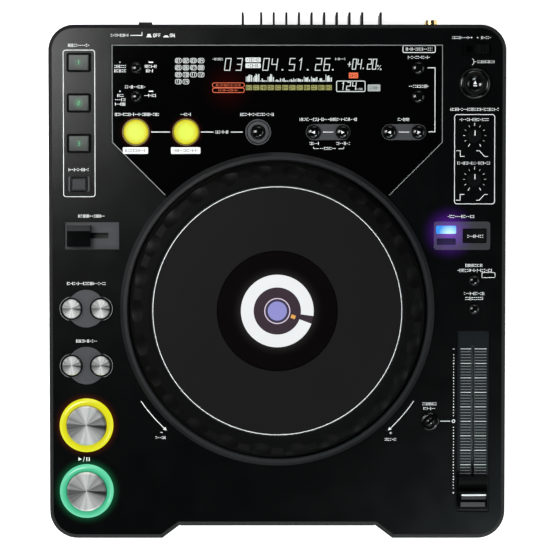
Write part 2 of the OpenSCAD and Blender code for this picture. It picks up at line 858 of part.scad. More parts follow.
module mains_inlet() {
    back = rear_panel_y - sheet_t - inlet_deep;
    color("#1a1a1a") translate([inlet_pos[0], 0, inlet_pos[1]]) {
        difference() {
            translate([0, (back + rear_panel_y + 1.4) / 2, 0])
                cube([inlet_size[0], rear_panel_y + 1.4 - back, inlet_size[1]], center = true);
            translate([0, back + 2 + inlet_deep, 0])
                cube([inlet_cavity[0], 2 * inlet_deep, inlet_cavity[1]], center = true);
        }
        for (x = [-4.3, 4.3]) rod_y(x, 0, 1.15, back + over, rear_panel_y - 1);
    }
}

module sloped_board(from, to) {
    middle = (from + to) / 2;
    block(middle, to - from, board_top - board_t, board_top);
}

// Board with the transformer and the smoothing capacitors
module power_board() {
    x = left_x + 12;
    base = foot_h + sheet_t + 4;
    translate([x, 60, base]) cube([64, 90, board_t]);
    translate([x + 8, 70, base + board_t - fit]) cube([40, 34, 26]);
    for (y = [118, 136]) disc([x + 18, y], 8, base + board_t - fit, base + 24);
    for (px = [x + 4, x + 60]) for (y = [64, 146]) disc([px, y], 2.5, foot_h + sheet_t, base + fit);
}

// Key boards under the deck, the main board above the disc drive and the power board
module circuit_boards() {
    color("#1f5a33") {
        on_deck() {
            sloped_board([left_x + wall_t + 4, front_y + 16], [left_x + 52, rear_y - 14]);
            sloped_board([right_x - 46, jog_y - 10], [right_x - wall_t - 4, rear_y - 14]);
            sloped_board([left_x + 53, row_3 - 14], [right_x - 47, rear_y - 14]);
            sloped_board(reset_pos - [8, 8], reset_pos + [8, 8]);
        }
        translate([-74, jog_y + 12, board_z]) cube([194, 160, board_t]);
        chip_top = board_z + board_t + 3;
        for (x = [-60, 0, 60]) block([x, jog_y + 100], [22, 22], board_z + board_t - fit, chip_top);
        power_board();
    }
}

// Tray with its side walls, spindle motor, sled motor and the two guide rods
module drive_frame() {
    color("#9ea1a4") {
        difference() {
            union() {
                tray_d = tray_rear - tray_front;
                tray_y = (tray_front + tray_rear) / 2;
                block([0, tray_y], [2 * tray_half_w, tray_d], tray_z, tray_z + tray_t);
                for (side = [-1, 1])
                    block([side * (tray_half_w - tray_t / 2), tray_y], [tray_t, tray_d], tray_z, disc_z + 6);
                disc([0, disc_y], 12, tray_z, rod_z + 1);
                for (x = [-tray_half_w + 8, tray_half_w - 8]) for (y = [tray_front + 8, tray_rear - 8])
                    disc([x, y], 4, foot_h + sheet_t, tray_z + fit);
            }
            disc([0, disc_y], shaft_r + shaft_play, tray_z + tray_t, disc_z);
            translate([-tray_half_w - over, roller_y, roller_z()]) rotate([0, 90, 0])
                cylinder(r = shaft_r + shaft_play, h = 2 * tray_half_w + 2 * over);
        }
        for (x = [-rod_x, rod_x]) {
            rod_y(x, rod_z, rod_r, rod_front, rod_rear);
            for (y = [rod_front, rod_rear]) block([x, y], [6, 3], tray_z + tray_t - fit, rod_z + 3);
        }
        for (y = [rod_front, rod_rear]) difference() {
            block([screw_x, y], [8, 3], tray_z + tray_t - fit, rod_z + 4);
            rod_y(screw_x, rod_z, shaft_r + shaft_play, y - 3, y + 3);
        }
    }
}

function roller_z() = disc_z - 0.4 - roller_r;

module turntable_hub() {
    top = disc_z - 0.6;
    color("#2a2a2c") {
        disc([0, disc_y], hub_r, top - 2.5, top);
        disc([0, disc_y], 7.3, top - fit, top + 2.4);
        disc([0, disc_y], shaft_r, tray_z + tray_t + 1, top);
    }
}

module pickup() {
    half = rod_x + 4;
    rear = pickup_front + pickup_d;
    middle = [0, (pickup_front + rear) / 2];
    color("#3b3d45") difference() {
        union() {
            block(middle, [2 * half, pickup_d], rod_z - 3, rod_z + 3);
            disc([0, pickup_front + 6], 4, rod_z + 3 - fit, disc_z - 2);
            block([half + 2, middle[1]], [5, 8], rod_z - 2, rod_z + 2);
        }
        for (x = [-rod_x, rod_x]) rod_y(x, rod_z, rod_r + shaft_play, pickup_front - over, rear + over);
    }
}

module sled_screw() {
    color("#c4c7ca") {
        rod_y(screw_x, rod_z, screw_r, rod_front + 2.5, rod_rear - 2.5);
        rod_y(screw_x, rod_z, shaft_r, rod_front - 2, rod_rear + 2);
        rod_y(screw_x, rod_z, 4, rod_rear + 2, rod_rear + 4);
    }
}

module loading_roller() {
    color("#55504a") translate([0, roller_y, roller_z()]) rotate([0, 90, 0]) {
        cylinder(r = roller_r, h = 2 * tray_half_w - 18, center = true);
        cylinder(r = shaft_r, h = 2 * tray_half_w - 0.4, center = true);
    }
}

top_cover();
bottom_chassis();
rear_panel();
feet();
display_panel();
display_module();
slot_lips();
jog_collar();
jog_base();
jog_wheel();
jog_plate();
jog_trim();
encoder_disc();
jog_display();
cue_ring();
play_ring();
button_collars();
fader_plate();
fader_body();
tempo_slider();
direction_lever();
lock_switch();
brake_knob();
start_knob();
for (i = [1:3]) hot_cue_button(i);
rec_mode_button();
jog_mode_button();
for (key = ROUND_KEYS) round_key(key);
power_button();
heat_sink();
rear_jacks();
mains_inlet();
circuit_boards();
drive_frame();
turntable_hub();
pickup();
sled_screw();
loading_roller();
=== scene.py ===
"""Looks of a tabletop disc player: studio, materials, printed marks, lamps and lit displays.

Places on the deck are in millimetres in the deck's own plane: x to the user's right, y to the
rear from the middle of the footprint, h up from the deck's top face.
"""

import json
import math
import random

import bmesh
import bpy
from mathutils import Matrix, Vector


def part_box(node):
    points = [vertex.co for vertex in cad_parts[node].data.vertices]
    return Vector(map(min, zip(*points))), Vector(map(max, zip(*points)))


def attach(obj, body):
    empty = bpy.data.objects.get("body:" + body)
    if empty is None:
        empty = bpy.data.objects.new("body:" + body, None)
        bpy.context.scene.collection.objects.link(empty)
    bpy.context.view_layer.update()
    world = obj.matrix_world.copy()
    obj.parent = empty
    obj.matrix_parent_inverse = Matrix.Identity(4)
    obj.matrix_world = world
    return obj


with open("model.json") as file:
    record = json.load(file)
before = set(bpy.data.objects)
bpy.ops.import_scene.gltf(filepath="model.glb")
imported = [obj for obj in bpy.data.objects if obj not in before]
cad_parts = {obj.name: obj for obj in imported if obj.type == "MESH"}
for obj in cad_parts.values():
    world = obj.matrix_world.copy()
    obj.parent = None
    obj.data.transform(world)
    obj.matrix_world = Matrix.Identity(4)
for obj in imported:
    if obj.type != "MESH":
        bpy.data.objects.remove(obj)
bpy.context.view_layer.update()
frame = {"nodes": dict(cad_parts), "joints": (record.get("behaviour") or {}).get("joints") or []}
NODES = frame["nodes"]
CHASSIS = "chassis"

# ---------------------------------------------------------------- the deck's plane

MM = 0.001
JOG_Y = -23.9
JOG_JOINT = next(j for j in frame["joints"] if j["name"] == "jog_turn")
DECK_UP = Vector(JOG_JOINT["axis"]).normalized()
DECK_REAR = Vector((0, DECK_UP.z, -DECK_UP.y))
DECK_ZERO = Vector(JOG_JOINT["pos_m"]) - DECK_REAR * JOG_Y * MM

# Landmarks on the deck
PANEL_REAR = 161.7
PANEL_SIDE = 92.9
PANEL_HALF_W = 115.3
ROW_1 = 145.1
ROW_2 = 125.1
ROW_3 = 100.4
LOOP_X = (-98.8, -63.8)
RELOOP_X = -13.4
WAVE_X = 35.5
CALL_X = 88.5
PAIR = 10.15
PAIR_KEYS = (("wave_back", WAVE_X - PAIR, 180), ("wave_forward", WAVE_X + PAIR, 0),
             ("call_back", CALL_X - PAIR, 180), ("call_forward", CALL_X + PAIR, 0))
HOT_X = -138.6
HOT_Y = (149.0, 120.75, 92.5)
REC_Y = 64.0
TRANSPORT_X = -133.9
TRACK_Y = -23.4
SEARCH_Y = -63.5
CUE_Y = -105.5
PLAY_Y = -152.0
LENS_R = (14.2, 18.8)
PAD_R = 13.25
TRIM_HIGHLIGHT_R = 86.95
EJECT = (138.0, 134.2)
KNOB_X = 137.9
BRAKE_Y = 97.9
START_Y = 67.3
JOG_MODE = (129.3, 27.8)
MODE_LAMP_X = 120.6
DIRECTION = (-129.8, 27.8)
FADER = (137.5, -103.0)
RESET = (107.2, -103.0)

# The straight-down view: its camera in metres
CAMERA_FAR = 2.9
VIEW_WIDTH = 0.3881
VIEW_CENTRE = (-0.0002, -0.0012)

# Points of that view, 554 across: the size of one, the deck's middle, and one row with its place
PIXEL = 0.7005
MIDDLE_PX = 277.3
REAR_PY = 25.5
REAR_Y = 175

# Heights above the deck
POCKET_FLOOR = -1.6
FADER_PLATE_TOP = -1.2
FLUSH = 0.02
PANEL_TOP = 0.2
MODE_PLATE_TOP = 0.8
LOW_COLLAR_TOP = 1.4
BEZEL_TOP = 1.6
COLLAR_TOP = 2.0
MODE_KEY_TOP = 2.0
FLAT_KEY_TOP = 2.2
HOT_KEY_TOP = 3
RAISED_KEY_TOP = 3.6
LEVER_TOP = 6.0
KNOB_TOP = 6.0
FADER_CAP_TOP = 10.0
WINDOW_TOP = 14.2
PLATE_TOP = 14.4

# Thicknesses: of a printed mark and of a lit one, and the height of a key's crown
INK = 0.06
FILM = 0.05
CROWN = 1.22


def on_deck(x, y, h=0.0):
    """The world point of a place on the deck."""
    return DECK_ZERO + Vector((x, 0, 0)) * MM + DECK_REAR * y * MM + DECK_UP * h * MM


def seen(px, py):
    """The deck place (x, y) of a point of the straight-down view."""
    return (px - MIDDLE_PX) * PIXEL, REAR_Y - (py - REAR_PY) * PIXEL


def deck_matrix(x, y, h):
    """The matrix that carries millimetres around (x, y, h) on the deck into the world."""
    turn = Matrix((Vector((1, 0, 0)), DECK_REAR, DECK_UP)).transposed().to_4x4()
    return Matrix.Translation(on_deck(x, y, h)) @ turn @ Matrix.Scale(MM, 4)


# ---------------------------------------------------------------- materials


def new_material(name):
    """A node material: (material, its nodes, its links, its Principled shader)."""
    material = bpy.data.materials.new(name)
    material.use_nodes = True
    tree = material.node_tree
    return material, tree.nodes, tree.links, tree.nodes["Principled BSDF"]


def mottle(nodes, links, scale, low, high, detail=3.0):
    """Object-space noise mapped to a range: the way one surface varies over its area."""
    place = nodes.new("ShaderNodeTexCoord")
    noise = nodes.new("ShaderNodeTexNoise")
    noise.inputs["Scale"].default_value = scale
    noise.inputs["Detail"].default_value = detail
    spread = nodes.new("ShaderNodeMapRange")
    spread.inputs["To Min"].default_value = low
    spread.inputs["To Max"].default_value = high
    links.new(place.outputs["Object"], noise.inputs["Vector"])
    links.new(noise.outputs["Fac"], spread.inputs["Value"])
    return spread.outputs["Result"]


def tint(nodes, links, factor, dark, light):
    """A colour between two, by a factor."""
    ramp = nodes.new("ShaderNodeValToRGB")
    ramp.color_ramp.elements[0].color = (*dark, 1)
    ramp.color_ramp.elements[1].color = (*light, 1)
    links.new(factor, ramp.inputs["Fac"])
    return ramp.outputs["Color"]


def press(nodes, links, shader, height, strength, distance):
    """Turns a height into bumps of the surface, distance in metres."""
    bump = nodes.new("ShaderNodeBump")
    bump.inputs["Strength"].default_value = strength
    bump.inputs["Distance"].default_value = distance
    links.new(height, bump.inputs["Height"])
    links.new(bump.outputs["Normal"], shader.inputs["Normal"])


def bumpy(nodes, links, shader, scale, strength):
    """Fine moulded texture."""
    press(nodes, links, shader, mottle(nodes, links, scale, 0, 1, detail=2.0), strength, 0.0001)


def shades(colour):
    """A darker and a lighter shade of a colour."""
    spread = 0.14
    return tuple(c * (1 - spread) for c in colour), tuple(min(1, c * (1 + spread)) for c in colour)


def plastic(name, colour, rough, grain=900, strength=0.05, gloss=0.3):
    """Moulded plastic: colour and roughness drift a little, over a fine grain."""
    material, nodes, links, shader = new_material(name)
    drift = mottle(nodes, links, 22, 0, 1)
    links.new(tint(nodes, links, drift, *shades(colour)), shader.inputs["Base Color"])
    links.new(mottle(nodes, links, 60, rough - 0.04, rough + 0.04), shader.inputs["Roughness"])
    shader.inputs["Specular IOR Level"].default_value = gloss
    bumpy(nodes, links, shader, grain, strength)
    return material


def parted_plastic(name, colour, second, mask, rough=0.42, gloss=0.25):
    """Plastic in two colours. mask(nodes, links) gives 1 where the second colour is."""
    material, nodes, links, shader = new_material(name)
    blend = nodes.new("ShaderNodeMix")
    blend.data_type = "RGBA"
    drift = mottle(nodes, links, 40, 0, 1)
    links.new(mask(nodes, links), blend.inputs["Factor"])
    links.new(tint(nodes, links, drift, *shades(colour)), blend.inputs["A"])
    links.new(tint(nodes, links, drift, *shades(second)), blend.inputs["B"])
    links.new(blend.outputs["Result"], shader.inputs["Base Color"])
    links.new(mottle(nodes, links, 60, rough - 0.05, rough + 0.05), shader.inputs["Roughness"])
    shader.inputs["Specular IOR Level"].default_value = gloss
    bumpy(nodes, links, shader, 1300, 0.06)
    return material


def maths(nodes, links, operation, *values):
    """The result of a maths node. Its values are sockets or numbers."""
    step = nodes.new("ShaderNodeMath")
    step.operation = operation
    for socket, value in zip(step.inputs, values):
        if isinstance(value, bpy.types.NodeSocket):
            links.new(value, socket)
        else:
            socket.default_value = value
    return step.outputs["Value"]


def sum_of(nodes, links, values, operation="ADD"):
    """Several values joined by one operation."""
    total = values[0]
    for value in values[1:]:
        total = maths(nodes, links, operation, total, value)
    return total


def coordinates(nodes, links):
    """The shaded point's X, Y and Z."""
    place = nodes.new("ShaderNodeTexCoord")
    parts = nodes.new("ShaderNodeSeparateXYZ")
    links.new(place.outputs["Object"], parts.inputs["Vector"])
    return parts.outputs


def in_box(nodes, links, x, y, half_w, half_d):
    """1 inside an upright box around a deck place, and 0 outside it."""
    point = coordinates(nodes, links)
    centre = on_deck(x, y)
    sides = [maths(nodes, links, "COMPARE", point[axis], middle, half * MM)
             for axis, middle, half in (("X", centre.x, half_w), ("Y", centre.y, half_d))]
    return sum_of(nodes, links, sides, "MULTIPLY")


def from_place(nodes, links, x, y, h=0.0):
    """The vector from a deck place to the shaded point, in metres."""
    place = nodes.new("ShaderNodeTexCoord")
    offset = nodes.new("ShaderNodeVectorMath")
    offset.operation = "SUBTRACT"
    offset.inputs[1].default_value = on_deck(x, y, h)
    links.new(place.outputs["Object"], offset.inputs[0])
    return offset.outputs["Vector"]


def spread_of(nodes, links, vector, start, end, low=0.0, high=1.0):
    """The length of a vector, in metres, mapped from start..end to low..high."""
    length = nodes.new("ShaderNodeVectorMath")
    length.operation = "LENGTH"
    spread = nodes.new("ShaderNodeMapRange")
    for socket, value in (("From Min", start), ("From Max", end), ("To Min", low), ("To Max", high)):
        spread.inputs[socket].default_value = value
    links.new(vector, length.inputs[0])
    links.new(length.outputs["Value"], spread.inputs["Value"])
    return spread.outputs["Result"]


def lamp(name, colour, strength=1.0, base=(0.02, 0.02, 0.02)):
    """A lit surface whose brightness drifts slightly."""
    material, nodes, links, shader = new_material(name)
    shader.inputs["Base Color"].default_value = (*base, 1)
    shader.inputs["Emission Color"].default_value = (*colour, 1)
    drift = mottle(nodes, links, 40, strength * 0.92, strength * 1.08)
    links.new(drift, shader.inputs["Emission Strength"])
    links.new(mottle(nodes, links, 300, 0.25, 0.35), shader.inputs["Roughness"])
    return material


def lens(name, x, y, reach, inner, outer, strength=1.0):
    """A lit lens whose colour changes with the distance from a deck place, over reach in millimetres."""
    material, nodes, links, shader = new_material(name)
    distance = spread_of(nodes, links, from_place(nodes, links, x, y), *(r * MM for r in reach))
    shade = tint(nodes, links, distance, inner, outer)
    links.new(shade, shader.inputs["Emission Color"])
    links.new(mottle(nodes, links, 90, strength * 0.9, strength * 1.1), shader.inputs["Emission Strength"])
    shader.inputs["Base Color"].default_value = (*(c * 0.12 for c in outer), 1)
    links.new(mottle(nodes, links, 300, 0.25, 0.35), shader.inputs["Roughness"])
    return material


FALLOFF = 2.4


def add_glows(material, glows):
    """Light spilled around lit keys: (x, y, start, end, colour) each, start to end in millimetres."""
    tree = material.node_tree
    nodes, links = tree.nodes, tree.links
    shader = nodes["Principled BSDF"]
    total = None
    for x, y, start, end, colour in glows:
        fade = spread_of(nodes, links, from_place(nodes, links, x, y), start * MM, end * MM, 1.0, 0.0)
        part = nodes.new("ShaderNodeVectorMath")
        part.operation = "SCALE"
        part.inputs[0].default_value = colour
        links.new(maths(nodes, links, "POWER", fade, FALLOFF), part.inputs["Scale"])
        if total is None:
            total = part.outputs["Vector"]
            continue
        both = nodes.new("ShaderNodeVectorMath")
        both.operation = "ADD"
        links.new(total, both.inputs[0])
        links.new(part.outputs["Vector"], both.inputs[1])
        total = both.outputs["Vector"]
    links.new(total, shader.inputs["Emission Color"])
    shader.inputs["Emission Strength"].default_value = 1


def ink(name, colour, rough=0.55):
    """Printed ink with a slightly uneven tone."""
    material, nodes, links, shader = new_material(name)
    dark = tuple(c * 0.9 for c in colour)
    shade = tint(nodes, links, mottle(nodes, links, 500, 0, 1), dark, colour)
    links.new(shade, shader.inputs["Base Color"])
    links.new(mottle(nodes, links, 200, rough - 0.06, rough + 0.06), shader.inputs["Roughness"])
    return material


# Painted shade and painted highlight of the spun caps' colour, and the way the painted highlight lobes point
SPUN_PAINTED_SHADE = (0.022, 0.022, 0.02244)
SPUN_PAINTED_HIGHLIGHT = (0.85, 0.85, 0.833)
SPUN_HIGHLIGHT_TURN = 100  # the way its bright lobes point, in degrees


def spun_metal_painted_lobes(name, x, y):
    """A spun cap: fine circular lines as bumps, with a painted highlight in its colour that fans out from the
    centre in two lobes over painted streaks.
    """
    material, nodes, links, shader = new_material(name)
    shader.inputs["Metallic"].default_value = 0.5
    shader.inputs["Anisotropic"].default_value = 0.6
    # Painted highlight: the base colour is lighter in two lobes around the centre, streaked along the angle
    offset = from_place(nodes, links, x, y)
    parts = nodes.new("ShaderNodeSeparateXYZ")
    links.new(offset, parts.inputs["Vector"])
    angle = maths(nodes, links, "ARCTAN2", parts.outputs["Y"], parts.outputs["X"])
    double = maths(nodes, links, "MULTIPLY_ADD", angle, 2, -2 * math.radians(SPUN_HIGHLIGHT_TURN))
    painted_streaks = nodes.new("ShaderNodeTexNoise")
    painted_streaks.noise_dimensions = "1D"
    painted_streaks.inputs["Scale"].default_value = 2.6
    painted_streaks.inputs["Detail"].default_value = 3
    painted_streaks.inputs["Roughness"].default_value = 0.35
    links.new(angle, painted_streaks.inputs["W"])
    spread = nodes.new("ShaderNodeMapRange")
    spread.inputs["From Min"].default_value = -1
    spread.inputs["To Min"].default_value = -0.40
    spread.inputs["To Max"].default_value = 0.36
    links.new(maths(nodes, links, "COSINE", double), spread.inputs["Value"])
    shade = tint(nodes, links, sum_of(nodes, links, [spread.outputs["Result"], painted_streaks.outputs["Fac"]]),
                 SPUN_PAINTED_SHADE, SPUN_PAINTED_HIGHLIGHT)
    links.new(shade, shader.inputs["Base Color"])
    lines = nodes.new("ShaderNodeTexNoise")
    lines.noise_dimensions = "1D"
    lines.inputs["Scale"].default_value = 5000
    links.new(spread_of(nodes, links, offset, 0, 1), lines.inputs["W"])
    press(nodes, links, shader, lines.outputs["Fac"], 0.2, 0.00002)
    links.new(mottle(nodes, links, 120, 0.32, 0.40), shader.inputs["Roughness"])
    return material


def metal(name, colour, rough, grain):
    """Plain metal with faint handling marks."""
    material, nodes, links, shader = new_material(name)
    shader.inputs["Metallic"].default_value = 1
    shader.inputs["Base Color"].default_value = (*colour, 1)
    links.new(mottle(nodes, links, 80, rough - 0.06, rough + 0.08), shader.inputs["Roughness"])
    bumpy(nodes, links, shader, grain, 0.06)
    return material


def dress(node, material):
    """Gives a CAD node its material."""
    mesh = NODES[node].data
    mesh.materials.clear()
    mesh.materials.append(material)


# ---------------------------------------------------------------- flat shapes printed on the deck


def around(x, y, r, angle):
    """The point at a radius and an angle in radians from (x, y)."""
    return x + r * math.cos(angle), y + r * math.sin(angle)


def soft_corners(x, y, w, d, r):
    """The points of a box with round corners."""
    steps = 5
    return [around(x + cx * (w / 2 - r), y + cy * (d / 2 - r), r, math.radians(start + 90 * i / steps))
            for cx, cy, start in ((1, 1, 0), (-1, 1, 90), (-1, -1, 180), (1, -1, 270))
            for i in range(steps + 1)]


def add_piece(name, build, matrix, material, body):
    """Makes an object of a bmesh, moved by a matrix, and rides it on a body."""
    bmesh.ops.recalc_face_normals(build, faces=build.faces)
    mesh = bpy.data.meshes.new(name)
    build.to_mesh(mesh)
    build.free()
    mesh.transform(matrix)
    mesh.materials.append(material)
    piece = bpy.data.objects.new(name, mesh)
    bpy.context.scene.collection.objects.link(piece)
    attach(piece, body)
    return mesh


class Print:
    """Thin flat shapes on one plane, gathered into one piece. All measures are in millimetres."""

    def __init__(self, thick=INK):
        self.shapes = []
        self.thick = thick

    def polygon(self, points):
        self.shapes.append([tuple(p) for p in points])

    def bar(self, x0, y0, x1, y1):
        self.polygon([(x0, y0), (x1, y0), (x1, y1), (x0, y1)])

    def box(self, x, y, w, d):
        self.bar(x - w / 2, y - d / 2, x + w / 2, y + d / 2)

    def line(self, points, width, closed=False):
        """A stroke of even width along points, with mitred corners."""
        count = len(points)
        sides = ([], [])
        for i in range(count):
            here = Vector(points[i])
            before = Vector(points[i - 1]) if i or closed else None
            after = Vector(points[(i + 1) % count]) if i < count - 1 or closed else None
            into = (here - before).normalized() if before else (after - here).normalized()
            out = (after - here).normalized() if after else into
            normal = Vector((-into.y - out.y, into.x + out.x)).normalized()
            reach = width / 2 / max(0.3, normal.dot(Vector((-into.y, into.x))))
            sides[0].append(here + normal * reach)
            sides[1].append(here - normal * reach)
        for i in range(count if closed else count - 1):
            j = (i + 1) % count
            self.polygon([sides[0][i], sides[1][i], sides[1][j], sides[0][j]])

    def arc(self, x, y, r, width, start, end):
        """An arc around (x, y), with its angles in degrees."""
        steps = 24
        turns = (math.radians(start + (end - start) * i / steps) for i in range(steps + 1))
        self.line([around(x, y, r, turn) for turn in turns], width)

    def sector(self, x, y, inner, outer, a, b):
        """A flat step of a ring, between two angles in radians."""
        self.polygon([around(x, y, r, t) for r, t in ((inner, a), (outer, a), (outer, b), (inner, b))])

    def ring(self, x, y, inner, outer, steps=64):
        for i in range(steps):
            self.sector(x, y, inner, outer, *(math.tau * k / steps for k in (i, i + 1)))

    def disc(self, x, y, r, steps):
        self.polygon([around(x, y, r, math.tau * i / steps) for i in range(steps)])

    def triangle(self, x, y, size, turn):
        """A triangle whose tip points along turn, in degrees."""
        corners = ((1, 0), (-0.7, 0.85), (-0.7, -0.85))
        a = math.radians(turn)
        self.polygon([(x + size * (cx * math.cos(a) - cy * math.sin(a)),
                       y + size * (cx * math.sin(a) + cy * math.cos(a))) for cx, cy in corners])

    def outline(self, x, y, w, d, width, r):
        """The outline of a box with round corners."""
        self.line(soft_corners(x, y, w, d, r), width, closed=True)

    def soft_box(self, x, y, w, d, r):
        """A filled box with round corners."""
        self.polygon(soft_corners(x, y, w, d, r))

    def dashes(self, x, y, width, high, seed):
        """A row of small plain marks, centred on (x, y)."""
        pick = random.Random(seed)
        thin = 0.19 * high
        at = x - width / 2
        end = x + width / 2
        while at < end - 0.3:
            kind = pick.choice((0, 0, 1, 2))
            long = min(thin if kind == 0 else 0.9, end - at)
            for level in ((0.5,), (0.1, 0.9), (0.5,))[kind]:
                half = high / 2 if kind == 0 else thin / 2
                self.box(at + long / 2, y + (level - 0.5) * (high - thin), long, 2 * half)
            at += long + 0.24 * high

    def make(self, name, material, h, body=CHASSIS):
        """Builds the piece with its underside h above the deck, and rides it on a body."""
        build = bmesh.new()
        for points in self.shapes:
            low = [build.verts.new((p[0], p[1], 0)) for p in points]
            high = [build.verts.new((p[0], p[1], self.thick)) for p in points]
            build.faces.new(high)
            build.faces.new(low[::-1])
            for i in range(len(points)):
                j = (i + 1) % len(points)
                build.faces.new((low[i], low[j], high[j], high[i]))
        add_piece(name, build, deck_matrix(0, 0, h), material, body)


def turned(name, profile, x, y, h, material, body=CHASSIS, steps=96):
    """A solid of revolution: profile lists (radius, height) up from h, around (x, y) on the deck."""
    build = bmesh.new()
    rings = []
    for r, z in profile:
        turns = range(steps if r else 1)
        rings.append([build.verts.new((*around(0, 0, r, math.tau * i / steps), z)) for i in turns])
    for low, high in zip(rings, rings[1:]):
        for i in range(steps):
            j = (i + 1) % steps
            corners = [low[i % len(low)], low[j % len(low)], high[j % len(high)], high[i % len(high)]]
            face = list(dict.fromkeys(corners))
            if len(face) > 2:
                build.faces.new(face)
    mesh = add_piece(name, build, deck_matrix(x, y, h), material, body)
    for face in mesh.polygons:
        face.use_smooth = True


# ---------------------------------------------------------------- studio


def area_light(name, place, target, size, power, colour=(1, 1, 1)):
    """A soft panel that faces target."""
    lamp_data = bpy.data.lights.new(name, "AREA")
    lamp_data.shape = "RECTANGLE"
    lamp_data.size, lamp_data.size_y = size
    lamp_data.energy = power
    lamp_data.color = colour
    panel = bpy.data.objects.new(name, lamp_data)
    panel.location = place
    panel.rotation_euler = (Vector(target) - Vector(place)).to_track_quat("-Z", "Y").to_euler()
    bpy.context.scene.collection.objects.link(panel)


def studio():
    """The camera, the light and the floor."""
    camera_data = bpy.data.cameras.new("camera")
    camera_data.lens = camera_data.sensor_width * CAMERA_FAR / VIEW_WIDTH
    camera_data.clip_end = 20
    camera = bpy.data.objects.new("camera", camera_data)
    camera.location = (VIEW_CENTRE[0], VIEW_CENTRE[1], DECK_ZERO.z + CAMERA_FAR)
    bpy.context.scene.collection.objects.link(camera)
    bpy.context.scene.camera = camera

    world = bpy.data.worlds.new("studio")
    world.use_nodes = True
    background = world.node_tree.nodes["Background"]
    background.inputs["Color"].default_value = (0.9, 0.95, 1.0, 1)
    background.inputs["Strength"].default_value = 0.03
    bpy.context.scene.world = world
    bpy.context.scene.view_settings.view_transform = "Standard"

    area_light("sheen_left_rear", (-0.35, 0.13, 0.65), (-0.15, 0.15, 0.09), (0.22, 0.34), 4.0)
    area_light("sheen_right_front", (0.31, -0.44, 0.62), (0.15, -0.17, 0.07), (0.26, 0.22), 2.2,
               (0.85, 1.0, 1.0))
    for side, x, y in (("left", -2.4, 0.3), ("right", 2.4, -0.3),
                       ("rear", 0.4, 2.4), ("front", -0.4, -2.4)):
        area_light("fill_" + side, (x, y, 1.05), (0, 0, 0), (1.6, 0.8), 15)

    mesh = bpy.data.meshes.new("floor")
    build = bmesh.new()
    bmesh.ops.create_grid(build, x_segments=8, y_segments=8, size=4)
    build.to_mesh(mesh)
    build.free()
    floor = bpy.data.objects.new("floor", mesh)
    bpy.context.scene.collection.objects.link(floor)
    material, nodes, links, shader = new_material("pale_floor")
    links.new(tint(nodes, links, mottle(nodes, links, 3, 0, 1), (0.90, 0.90, 0.90), (0.93, 0.93, 0.93)),
              shader.inputs["Base Color"])
    shader.inputs["Roughness"].default_value = 0.9
    shader.inputs["Emission Color"].default_value = (1, 1, 1, 1)
    shader.inputs["Emission Strength"].default_value = 0.75
    mesh.materials.append(material)


studio()

# ---------------------------------------------------------------- the CAD nodes' materials


def black_collars(nodes, links):
    """1 where the collars are black; 0.3 where they are darker, as painted shade on the jog mode plate, which
    gets less sheen, and as a darker grey around the rec key; 0 elsewhere.
    """
    zones = [in_box(nodes, links, *zone) for zone in (
        (HOT_X, HOT_Y[1], 12, 42), (sum(LOOP_X) / 2, ROW_3, 29, 12), (*EJECT, 12, 12), (*RESET, 9, 9))]
    # Painted shade: the jog mode plate is darker where less sheen falls; the rec key's surround is darker grey
    painted_shade_and_darker_zones = [in_box(nodes, links, *zone) for zone in ((*JOG_MODE, 20, 10.5), (HOT_X, REC_Y, 9, 7))]
    zones.append(maths(nodes, links, "MULTIPLY", sum_of(nodes, links, painted_shade_and_darker_zones), 0.3))
    for y in (TRACK_Y, SEARCH_Y):
        offset = from_place(nodes, links, TRANSPORT_X, y)
        beyond = spread_of(nodes, links, offset, PAD_R * MM, (PAD_R + 0.01) * MM)
        near = in_box(nodes, links, TRANSPORT_X, y, 20, 15)
        zones.append(sum_of(nodes, links, [near, beyond], "MULTIPLY"))
    return sum_of(nodes, links, zones)


def direction_pocket(nodes, links):
    """Where the deck is grey: the floor of the direction lever's pocket."""
    return in_box(nodes, links, *DIRECTION, 19.0, 9.5)


def trim_beyond_highlight(nodes, links):
    """Where the trim ring keeps its dark colour: outside the highlight painted white along its inner edge."""
    offset = from_place(nodes, links, 0, JOG_Y, PLATE_TOP)
    return spread_of(nodes, links, offset, TRIM_HIGHLIGHT_R * MM, (TRIM_HIGHLIGHT_R + 0.15) * MM)


def cap_strips(nodes, links):
    """Where the fader's cap is grey: two strips across it, in front of its ridge."""
    strips = ((FADER[0] + 0.3, -156.4, 1.4), (FADER[0] - 0.3, -161.3, 1.5))
    return sum_of(nodes, links, [in_box(nodes, links, x, y, 8.5, half) for x, y, half in strips])


def hot_cap(i, power):
    """A smoked key cap with a painted sheen, lighter to the rear, and a green lamp behind its middle."""
    y = HOT_Y[i]
    material, nodes, links, shader = new_material(f"hot_key_smoked_{i + 1}")
    # Painted sheen: the base colour lightens towards the rear
    rise = nodes.new("ShaderNodeMapRange")
    middle = on_deck(HOT_X, y).y
    rise.inputs["From Min"].default_value = middle - 6 * MM
    rise.inputs["From Max"].default_value = middle + 6 * MM
    links.new(coordinates(nodes, links)["Y"], rise.inputs["Value"])
    links.new(tint(nodes, links, rise.outputs["Result"], (0.010, 0.014, 0.012), (0.062, 0.074, 0.068)),
              shader.inputs["Base Color"])
    offset = from_place(nodes, links, HOT_X, y, HOT_KEY_TOP)
    halo = spread_of(nodes, links, offset, 0.2 * MM, 4.2 * MM, power, 0.0)
    shader.inputs["Emission Color"].default_value = (0.01, 0.85, 0.22, 1)
    links.new(halo, shader.inputs["Emission Strength"])
    links.new(mottle(nodes, links, 70, 0.32, 0.42), shader.inputs["Roughness"])
    shader.inputs["Specular IOR Level"].default_value = 0.3
    bumpy(nodes, links, shader, 1200, 0.05)
    return material


